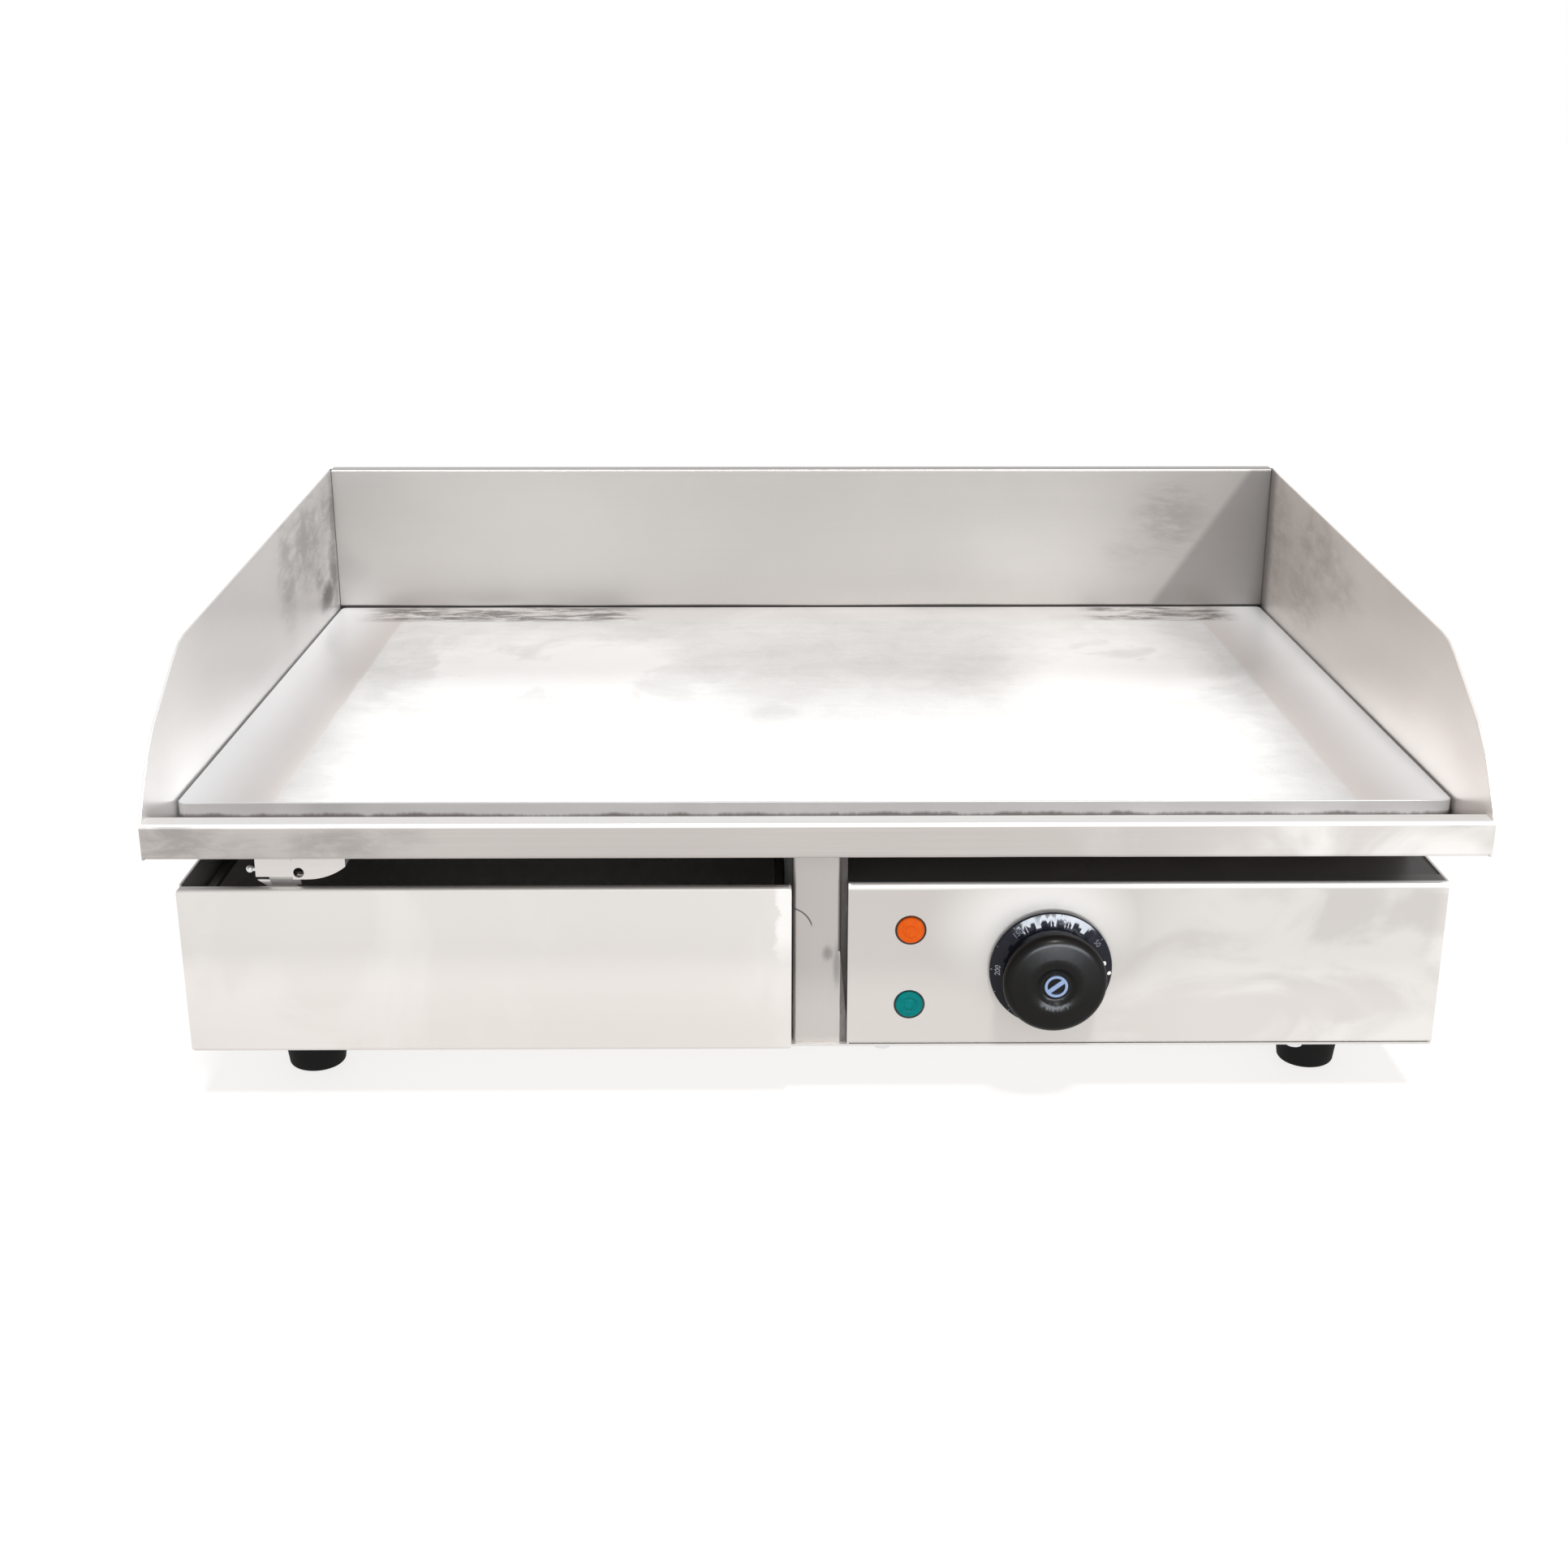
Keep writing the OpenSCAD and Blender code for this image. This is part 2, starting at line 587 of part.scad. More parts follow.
module drawer_runner_right() color(ZINC) drawer_runner(drawer_right - 0.4, -1);

// ---------------------------------------------------------------- knob and thermostat

// Places a shape turned about Z so that it stands out of the panel at the knob
module at_knob() translate([knob_x, panel_y, panel_mid]) rotate([90, 0, 0]) children();

module knob_grip() color(BAKELITE)
    at_knob() {
        r = grip_d / 2;
        base = dial_gap + 4.5;
        difference() {
            rotate_extrude()
                polygon(concat([[0, base], [grip_foot, base], [grip_foot + 0.6, base + 1],
                                [r - 0.5, base + 7], [r, base + 9]],
                               arc([r - 5, base + 10], 5, 0, 78, 8),
                               [[r - 9, knob_out - 0.3], [r - 11, knob_out],
                                [9, knob_out - 1], [7.3, knob_out - 2.4],
                                [6.2, knob_out - 3], [0, knob_out - 3]]));
            translate([0, 0, base - 1]) cylinder(r = shaft_r + 0.05, h = 11);
        }
    }

// Sloping skirt that carries the temperature scale
module knob_dial() color([0.10, 0.10, 0.11])
    at_knob()
        difference() {
            rotate_extrude()
                polygon([[0, dial_gap], [dial_d / 2 - 1, dial_gap], [dial_d / 2, dial_gap + 0.8],
                         [dial_d / 2 - 0.3, dial_gap + 1.6], [grip_foot + 0.3, dial_gap + 4.5],
                         [0, dial_gap + 4.5]]);
            translate([0, 0, -1]) cylinder(r = shaft_r + 0.05, h = dial_gap + 8);
        }

// Bright ring and bar let into the grip's hub
module knob_insert() color(ZINC)
    at_knob() translate([0, 0, knob_out - 3]) {
        difference() {
            cylinder(r = 5, h = 1.2);
            translate([0, 0, -1]) cylinder(r = 3.8, h = 3);
        }
        rotate([0, 0, 38]) slab([-3.9, 3.9], [-1, 1], [0, 1.2]);
    }

module thermostat_shaft() color(BRASS)
    at_knob() translate([0, 0, -11]) cylinder(r = shaft_r, h = 11 + dial_gap + 14);

module thermostat_body() color(ZINC) {
    back = panel_y + sheet_t;
    difference() {
        union() {
            slab([knob_x - 19, knob_x + 19], [back, back + 1.5], [panel_mid - 12, panel_mid + 12]);
            slab([knob_x - 17, knob_x + 17], [back + 1.4, back + 28], [panel_mid - 17, panel_mid + 17]);
        }
        bar_y(knob_x, panel_mid, shaft_r + 0.08, [back - 1, back + 12]);
        for (s = [-1, 1]) bar_y(knob_x + s * 14, panel_mid, screw_r + 0.05, [back - 1, back + 8]);
    }
}

module thermostat_screws() color(ZINC)
    for (s = [-1, 1]) {
        bar_y(knob_x + s * 14, panel_mid, 3.4, [panel_y - 1.1, panel_y]);
        bar_y(knob_x + s * 14, panel_mid, screw_r, [panel_y - eps, panel_y + 7]);
    }

module capillary_tube() color(COPPER) {
    back = panel_y + 29;
    y = bulb_y;
    wire([[knob_x, back + 0.1, panel_mid], [knob_x, back + 8, panel_mid],
          [knob_x + 14, back + 22, panel_mid - 8], [knob_x + 60, back + 34, panel_mid - 14],
          [knob_x + 110, back + 60, panel_mid - 6],
          [247, y - 14, heat_pan_z - 24], [245, y - 1, heat_pan_z - 8], [244, y, heat_pan_z + 6],
          [243, y, bulb_z - 10], [236, y, bulb_z - 1.5], [222, y, bulb_z], [140, y, bulb_z]], 1);
}

module sensor_bulb() color(COPPER)
    bar_x(bulb_y, bulb_z, bulb_r, [40, 140]);

// Saddles that hold the sensor bulb up against the plate
module bulb_clips() color(ZINC)
    for (x = [55, 115])
        difference() {
            slab([x - 5, x + 5], [bulb_y - 5, bulb_y + 5], [clamp_z + clamp_t, bulb_z]);
            bar_x(bulb_y, bulb_z, bulb_r + 0.05, [x - 6, x + 6]);
        }

// ---------------------------------------------------------------- pilot lamps

module at_lamp(s) translate([lamp_x, panel_y, panel_mid + s * lamp_spread]) rotate([90, 0, 0]) children();

// Lens that stands a little proud in its hole, with a low crown and a raised ring
module lamp_lens()
    rotate_extrude()
        polygon(concat([[0, -6], [lens_d / 2 - 0.5, -6]],
                       arc([lens_d / 2 - 1.1, 0.1], 0.6, 0, 90, 4),
                       [[3.6, 0.8], [3.3, 0.5], [2.4, 0.5], [2.1, 0.8], [0, 0.95]]));

module orange_lens() color([0.93, 0.36, 0.08]) at_lamp(1) lamp_lens();

module green_lens() color([0.0, 0.50, 0.46]) at_lamp(-1) lamp_lens();

module lamp_bodies() color([0.85, 0.85, 0.83])
    for (s = [-1, 1]) at_lamp(s) {
        translate([0, 0, -26]) cylinder(r = 5.5, h = 20);
        for (x = [-2.5, 2.5]) slab([x - 0.4, x + 0.4], [-2.4, 2.4], [-34, -26 + eps]);
    }

// Spring clips that grip the lamps behind the panel
module lamp_clips() color(ZINC)
    for (s = [-1, 1]) at_lamp(s) translate([0, 0, -2])
        difference() {
            cylinder(r = 8.5, h = 1);
            translate([0, 0, -1]) cylinder(r = lens_d / 2 - 0.5, h = 3);
        }

// ---------------------------------------------------------------- wiring side

module thermal_cutout() color(ZINC)
    translate([150, heat_y + 40, heat_pan_z]) {
        translate([0, 0, -1]) slab([-12, 12], [-5, 5], [0, 1]);
        translate([0, 0, -10]) cylinder(r = 8, h = 9 + eps);
        for (s = [-1, 1]) slab([s * 5 - 0.5, s * 5 + 0.5], [-3, 3], [-17, -10 + eps]);
    }

module terminal_block() color([0.90, 0.89, 0.85])
    for (i = [-1:1]) translate([terminal_x + 12 * i, rear_y - 40, floor_z])
        difference() {
            slab([-5.5, 5.5], [-11, 11], [0, 16]);
            bar_y(0, 6, 2.2, [-12, 12]);
            for (s = [-1, 1]) translate([0, s * 6, 8]) cylinder(r = 2.2, h = 9);
        }

module terminal_screws() color(BRASS)
    for (i = [-1:1]) for (s = [-1, 1])
        translate([terminal_x + 12 * i, rear_y - 40 + s * 6, floor_z + 8]) cylinder(r = 2.2, h = 5);

// Gland for a supply cable: threaded stem, hexagon and domed nut on one bore
module cable_gland() color(BAKELITE)
    difference() {
        union() {
            bar_y(gland_x, gland_z, 8, [rear_y - 10, rear_y + 0.5]);
            translate([gland_x, rear_y + 5, gland_z]) rotate([90, 0, 0])
                cylinder(r = 12.5, h = 5, $fn = 6);
            bar_y(gland_x, gland_z, 10, [rear_y + 4.5, rear_y + 11]);
            translate([gland_x, rear_y + gland_out, gland_z]) rotate([90, 0, 0])
                cylinder(r1 = 7.5, r2 = 10, h = 4.1);
        }
        bar_y(gland_x, gland_z, 5, [rear_y - 11, rear_y + gland_out + 1]);
    }

module gland_locknut() color(BAKELITE)
    translate([gland_x, rear_y - sheet_t, gland_z]) rotate([90, 0, 0]) hex_nut(10.5, 4, 8.05);

// Shouldered stud: the thinner tail goes through the panel to its nut
module bond_stud() color(BRASS) {
    bar_y(bond_x, gland_z, 2.5, [rear_y, rear_y + 12]);
    bar_y(bond_x, gland_z, 2, [rear_y - 7, rear_y + eps]);
}

module bond_nut() color(ZINC)
    translate([bond_x, rear_y - sheet_t, gland_z]) rotate([90, 0, 0]) hex_nut(3.5, 3.2, 2.05);

// Leads from the terminal block to the thermostat, the elements and the lamps
module control_wires() color([0.55, 0.12, 0.10]) {
    block_y = rear_y - 51;
    first_y = heat_y + element_rows[0] - bend_r;
    last_y = heat_y + element_rows[2] + bend_r;
    wire([[terminal_x - 12, block_y, floor_z + 6], [terminal_x - 14, block_y - 12, floor_z + 5],
          [terminal_x - 30, block_y - 60, floor_z + 6], [knob_x + 22, 10, floor_z + 6],
          [knob_x + 9, panel_y + 60, floor_z + 10], [knob_x + 9, panel_y + 44, floor_z + 24],
          [knob_x + 9, panel_y + 35, panel_mid - 7], [knob_x + 9, panel_y + 29.1, panel_mid - 7]], 1.3);
    wire([[knob_x - 9, panel_y + 29.1, panel_mid - 7], [knob_x - 9, panel_y + 35, panel_mid - 7],
          [knob_x - 6, panel_y + 46, panel_mid - 16],
          [knob_x + 40, panel_y + 58, floor_z + 20], [drop_x - 12, panel_y + 66, element_end_z - 34],
          [drop_x, first_y, element_end_z - 24], [drop_x, first_y, element_end_z - 14.2]], 1.3);
    wire([[terminal_x, block_y, floor_z + 6], [terminal_x + 2, block_y - 10, floor_z + 8],
          [drop_x - 8, last_y - 6, element_end_z - 36], [drop_x, last_y, element_end_z - 24],
          [drop_x, last_y, element_end_z - 14.2]], 1.3);
    for (s = [-1, 1])
        wire([[lamp_x + 2.5, panel_y + 34.3, panel_mid + s * lamp_spread],
              [lamp_x + 3, panel_y + 44, panel_mid + s * lamp_spread - 2],
              [lamp_x + 26, panel_y + 52, panel_mid - 12 + s * 4],
              [knob_x - 14, panel_y + 44, panel_mid + 2 + s * 5],
              [knob_x - 12, panel_y + 35, panel_mid + 6 + s * 4],
              [knob_x - 12, panel_y + 29.1, panel_mid + 6 + s * 4]], 1);
}

// ---------------------------------------------------------------- feet and fasteners

module rubber_feet() color(RUBBER)
    at_feet() difference() {
        rotate_extrude()
            polygon(concat([[0, 0]], arc([10.5, 2.5], 2.5, 270, 340, 6),
                           [[14.5, 14], [15.5, 17], [15.5, case_z], [0, case_z]]));
        translate([0, 0, -1]) cylinder(r = 5.2, h = 9);
        cylinder(r = 2.6, h = case_z + 1);
    }

module foot_screws() color(ZINC)
    at_feet() {
        translate([0, 0, 5]) cylinder(r = 4.6, h = 3);
        translate([0, 0, 8 - eps]) cylinder(r = 2.5, h = floor_z - 4.4);
    }

module foot_nuts() color(ZINC)
    at_feet() translate([0, 0, floor_z]) hex_nut(4, 3.2, 2.55);

// Pan-head screw pointing along +Z
module pan_screw(len) {
    translate([0, 0, -1.8]) cylinder(r = 3.6, h = 1.8);
    translate([0, 0, -eps]) cylinder(r = screw_r, h = len);
}

module at_rear_screws() {
    for (x = [-200, 0, 200]) translate([x, 0, floor_z + 6]) children();
    for (x = [6 - in_x, in_x - 6]) for (z = side_screw_z) translate([x, 0, z]) children();
}

module rear_screws() color(ZINC)
    at_rear_screws() translate([0, rear_y, 0]) rotate([90, 0, 0]) pan_screw(5);

module at_base_screws() {
    for (x = [panel_left + 16, side_x - 60]) translate([x, panel_y + 5, 0]) children();
}

module base_screws() color(ZINC)
    at_base_screws() translate([0, 0, case_z]) pan_screw(5);

// ---------------------------------------------------------------- nodes

griddle_plate();
plate_studs();
clamp_nuts();
element_clamp();
heating_element(element_rows[0]);  // heating_element_front
heating_element(element_rows[1]);  // heating_element_middle
heating_element(element_rows[2]);  // heating_element_rear
element_insulators();
element_links();
insulation_blanket();
heat_pan();
recess_wall();
front_gutter();
plate_ledge_left();
plate_ledge_right();
plate_ledge_rear();
left_guard();
right_guard();
back_splash();
drain_chute();
chute_pin();
left_side_panel();
right_side_panel();
rear_panel();
base_pan();
centre_post();
bay_divider();
control_panel();
control_cover();
drawer_front();
drawer_pan();
drawer_runner_left();
drawer_runner_right();
knob_grip();
knob_dial();
knob_insert();
thermostat_shaft();
thermostat_body();
thermostat_screws();
capillary_tube();
sensor_bulb();
bulb_clips();
orange_lens();
green_lens();
lamp_bodies();
lamp_clips();
thermal_cutout();
terminal_block();
terminal_screws();
cable_gland();
gland_locknut();
bond_stud();
bond_nut();
control_wires();
rubber_feet();
foot_screws();
foot_nuts();
rear_screws();
base_screws();
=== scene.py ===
"""Looks of the electric griddle: finishes of its sheet metal, cooking plate, knob, lamps and
inner works, the print on its dial, and a plain pale studio around it. Metres throughout."""
import json
import math

import bmesh
import bpy
from mathutils import Euler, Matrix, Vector


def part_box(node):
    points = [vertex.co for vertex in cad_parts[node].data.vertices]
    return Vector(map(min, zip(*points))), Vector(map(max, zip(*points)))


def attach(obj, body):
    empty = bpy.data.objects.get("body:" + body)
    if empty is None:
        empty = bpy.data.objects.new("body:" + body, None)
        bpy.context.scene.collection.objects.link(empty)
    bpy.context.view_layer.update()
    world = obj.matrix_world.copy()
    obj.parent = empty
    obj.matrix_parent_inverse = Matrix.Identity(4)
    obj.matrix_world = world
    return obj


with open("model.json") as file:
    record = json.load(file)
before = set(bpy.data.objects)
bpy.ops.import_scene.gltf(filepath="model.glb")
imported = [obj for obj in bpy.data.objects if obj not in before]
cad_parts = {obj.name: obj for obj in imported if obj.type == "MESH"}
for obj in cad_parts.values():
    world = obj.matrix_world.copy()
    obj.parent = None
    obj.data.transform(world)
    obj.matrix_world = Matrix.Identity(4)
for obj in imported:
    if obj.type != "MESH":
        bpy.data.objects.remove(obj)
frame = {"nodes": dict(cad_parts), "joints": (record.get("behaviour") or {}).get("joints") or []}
nodes = frame["nodes"]
joints = {j["name"]: j for j in frame["joints"]}
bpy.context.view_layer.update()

MM = 0.001


# ---------------------------------------------------------------- places, from the CAD model

SHEET = 1.0 * MM                          # thickness of the guards' sheet

plate_low, plate_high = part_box("griddle_plate")
apron_low, apron_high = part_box("front_gutter")
drawer_low, drawer_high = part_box("drawer_front")
panel_low, panel_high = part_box("control_panel")
guard_low, guard_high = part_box("right_guard")
splash_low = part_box("back_splash")[0]
post_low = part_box("centre_post")[0]
pan_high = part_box("drawer_pan")[1]
dial_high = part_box("knob_dial")[1]
chute_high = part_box("drain_chute")[1]
knob_axis = Vector(joints["knob_turn"]["pos_m"])

guard_x = guard_low.x                     # edge of the right guard's ledge
guard_face = guard_high.x - SHEET         # inner face of the right guard
post_step_x = 0.0109                      # where the post's face ends and its step begins
chute_mid = -0.2195                       # the joint between the chute's block and its scoop
chute_front, chute_back = -0.195, -0.179  # the scoop's mouth, and where its ramp starts
chute_floor = chute_high.z - 0.0163       # the bottom of the scoop's hollow


# ---------------------------------------------------------------- node materials

class Finish:
    """One material made of procedural nodes, in the object's own coordinates in metres."""

    def __init__(self, name, **constants):
        self.material = bpy.data.materials.new(name)
        self.material.use_nodes = True
        self.tree = self.material.node_tree
        self.shader = self.tree.nodes["Principled BSDF"]
        for socket, value in constants.items():
            self.shader.inputs[socket.replace("_", " ")].default_value = value
        self.coords = self.tree.nodes.new("ShaderNodeTexCoord").outputs["Object"]
        split = self.tree.nodes.new("ShaderNodeSeparateXYZ")
        self.tree.links.new(self.coords, split.inputs[0])
        self.x, self.y, self.z = split.outputs

    def plug(self, socket, value):
        """Links an output to a socket, or sets a plain number on it."""
        if isinstance(value, bpy.types.NodeSocket):
            self.tree.links.new(value, socket)
        else:
            socket.default_value = value

    def math(self, operation, a, b=0.0, c=0.0, clamp=False):
        node = self.tree.nodes.new("ShaderNodeMath")
        node.operation = operation
        node.use_clamp = clamp
        for socket, value in zip(node.inputs, (a, b, c)):
            self.plug(socket, value)
        return node.outputs[0]

    def add(self, a, b):
        return self.math("ADD", a, b)

    def times(self, a, b):
        return self.math("MULTIPLY", a, b)

    def less(self, a, b):
        return self.math("SUBTRACT", a, b)

    def fade(self, value, start, end):
        """0 before start, 1 after end, smooth between; start may be the larger."""
        node = self.tree.nodes.new("ShaderNodeMapRange")
        node.interpolation_type = "SMOOTHSTEP"
        self.plug(node.inputs["Value"], value)
        node.inputs["From Min"].default_value = start
        node.inputs["From Max"].default_value = end
        return node.outputs[0]

    def window(self, value, start, end, edge):
        """1 between start and end, fading to 0 over edge on both sides."""
        return self.times(self.fade(value, start - edge, start),
                          self.fade(value, end + edge, end))

    def placed(self, scale=(1, 1, 1), offset=(0, 0, 0)):
        node = self.tree.nodes.new("ShaderNodeMapping")
        self.plug(node.inputs["Vector"], self.coords)
        node.inputs["Scale"].default_value = scale
        node.inputs["Location"].default_value = offset
        return node.outputs[0]

    def noise(self, scale, detail=3.0, stretch=(1, 1, 1), offset=(0, 0, 0), warp=0.0, grit=0.5):
        """Cloud noise of that many cells per metre, about 0.5 on average."""
        node = self.tree.nodes.new("ShaderNodeTexNoise")
        self.plug(node.inputs["Vector"], self.placed(stretch, offset))
        node.inputs["Scale"].default_value = scale
        node.inputs["Detail"].default_value = detail
        node.inputs["Roughness"].default_value = grit
        node.inputs["Distortion"].default_value = warp
        return node.outputs["Fac"]

    def cells(self, scale, feature="F1", output="Distance"):
        """Voronoi cells, that many per metre."""
        node = self.tree.nodes.new("ShaderNodeTexVoronoi")
        node.feature = feature
        self.plug(node.inputs["Vector"], self.placed())
        node.inputs["Scale"].default_value = scale
        return node.outputs[output]

    def blot(self, centre, radii):
        """1 at the centre of an ellipsoid, falling smoothly to 0 at its surface."""
        scale = [1 / r for r in radii]
        offset = [-c / r for c, r in zip(centre, radii)]
        node = self.tree.nodes.new("ShaderNodeVectorMath")
        node.operation = "LENGTH"
        self.plug(node.inputs[0], self.placed(scale, offset))
        return self.fade(node.outputs["Value"], 1.0, 0.15)

    def mix(self, factor, a, b):
        """Colour a where factor is 0, colour b where it is 1."""
        node = self.tree.nodes.new("ShaderNodeMix")
        node.data_type = "RGBA"
        self.plug(node.inputs[0], factor)
        for socket, value in ((node.inputs[6], a), (node.inputs[7], b)):
            self.plug(socket, value if isinstance(value, bpy.types.NodeSocket) else (*value, 1.0))
        return node.outputs[2]

    def bump(self, height, depth, strength=1.0):
        node = self.tree.nodes.new("ShaderNodeBump")
        node.inputs["Strength"].default_value = strength
        node.inputs["Distance"].default_value = depth
        self.plug(node.inputs["Height"], height)
        self.plug(self.shader.inputs["Normal"], node.outputs[0])

    def grain_along(self, axis):
        """Turns an anisotropic highlight to a grain that runs along X, Y or Z."""
        node = self.tree.nodes.new("ShaderNodeCombineXYZ")
        node.inputs["XYZ".index(axis)].default_value = 1.0
        self.plug(self.shader.inputs["Tangent"], node.outputs[0])

    def done(self, colour, roughness=None):
        self.plug(self.shader.inputs["Base Color"], colour)
        if roughness is not None:
            self.plug(self.shader.inputs["Roughness"], roughness)
        return self.material


def shade(colour, factor):
    return tuple(c * factor for c in colour)


def grain_stretch(axis, along, across):
    return tuple(along if a == axis else across for a in "XYZ")


STEEL = (0.62, 0.605, 0.59)
STEEL_STAIN_AND_SHADE = (0.17, 0.155, 0.15)       # grime and heat stain on bare steel, and painted shade
STEEL_JOINT_AND_SHADE = (0.045, 0.04, 0.038)        # even dark colour of dark joints, and painted shade in corners and recesses
STEEL_PALE_AND_LIT = (0.93, 0.92, 0.905)       # paler steel, and painted light and highlights


def brushed(name, grain="X", tone=STEEL, rough=0.36, cloud=0.10, streak=0.05, marks=(),
            extra=None, lift=None, tint=None):
    """Brushed stainless sheet: fine lines along the grain, faint clouds, and stains in marks,
    each (centre, radii, depth). extra adds ragged stains and painted shade of its own, tint an
    even dark joint and painted shade, and lift lightens the steel with painted light and paler
    patches; each is a function of the finish that gives 0 to 1."""
    f = Finish(name, Metallic=0.68, Anisotropic=0.5)
    f.grain_along(grain)
    lines = f.noise(1.0, 2.0, grain_stretch(grain, 14, 1500))
    broad = f.noise(1.0, 3.0, grain_stretch(grain, 3, 60), (7, 3, 5))
    clouds = f.noise(13.0, 4.0, offset=(3, 1, 4), warp=0.6)
    blotch = f.fade(f.noise(5.0, 3.0, offset=(9, 2, 6), warp=0.8), 0.42, 0.62)
    level = f.add(f.times(f.less(lines, 0.5), streak), f.times(f.less(broad, 0.5), 0.05))
    level = f.add(level, f.times(f.less(clouds, 0.5), cloud))
    level = f.add(level, f.times(f.less(blotch, 0.5), cloud * 0.35))
    colour = f.mix(f.math("ADD", level, 0.5, clamp=True), shade(tone, 0.6), shade(tone, 1.4))
    if lift:
        colour = f.mix(lift(f), colour, STEEL_PALE_AND_LIT)
    rough_out = f.add(rough, f.times(f.less(clouds, 0.5), 0.18))
    # stains from marks, and from extra, which for some pieces is painted shade
    stain_and_shade = None
    for centre, radii, depth in marks:
        patch = f.times(f.blot(centre, radii), depth)
        stain_and_shade = patch if stain_and_shade is None else f.math("MAXIMUM", stain_and_shade, patch)
    if extra:
        stain_and_shade = extra(f) if stain_and_shade is None else f.math("MAXIMUM", stain_and_shade, extra(f))
    if stain_and_shade is not None:
        flecks = f.noise(90.0, 6.0, grain_stretch(grain, 0.5, 1.5), warp=0.4, grit=0.7)
        ragged = f.fade(f.add(flecks, f.times(stain_and_shade, 0.35)), 0.38, 0.78)
        stain_and_shade = f.times(stain_and_shade, ragged)
        colour = f.mix(stain_and_shade, colour, STEEL_STAIN_AND_SHADE)
        rough_out = f.add(rough_out, f.times(stain_and_shade, 0.2))
    if tint:
        colour = f.mix(tint(f), colour, STEEL_JOINT_AND_SHADE)
    f.bump(f.add(f.times(lines, 0.6), f.times(clouds, 1.2)), 0.00002, 0.5)
    return f.done(colour, rough_out)


PLATE_GROUND = (0.435, 0.427, 0.42), (0.82, 0.815, 0.803)        # its darkest and its palest
PLATE_LEFT = (0.83, 0.84, 0.855), (0.575, 0.537, 0.52)           # a margin's edge and inside: a painted reflection of the guard
PLATE_RIGHT = (0.92, 0.935, 0.95), (0.63, 0.59, 0.57)
PLATE_BACK = (0.55, 0.525, 0.51), (0.73, 0.71, 0.695)
PLATE_FRONT = (0.77, 0.765, 0.78)
PLATE_SMEAR = (0.12, 0.105, 0.10)
# painted shade along the plate's lower edge
PLATE_LOW_SHADE = (0.16, 0.145, 0.14)


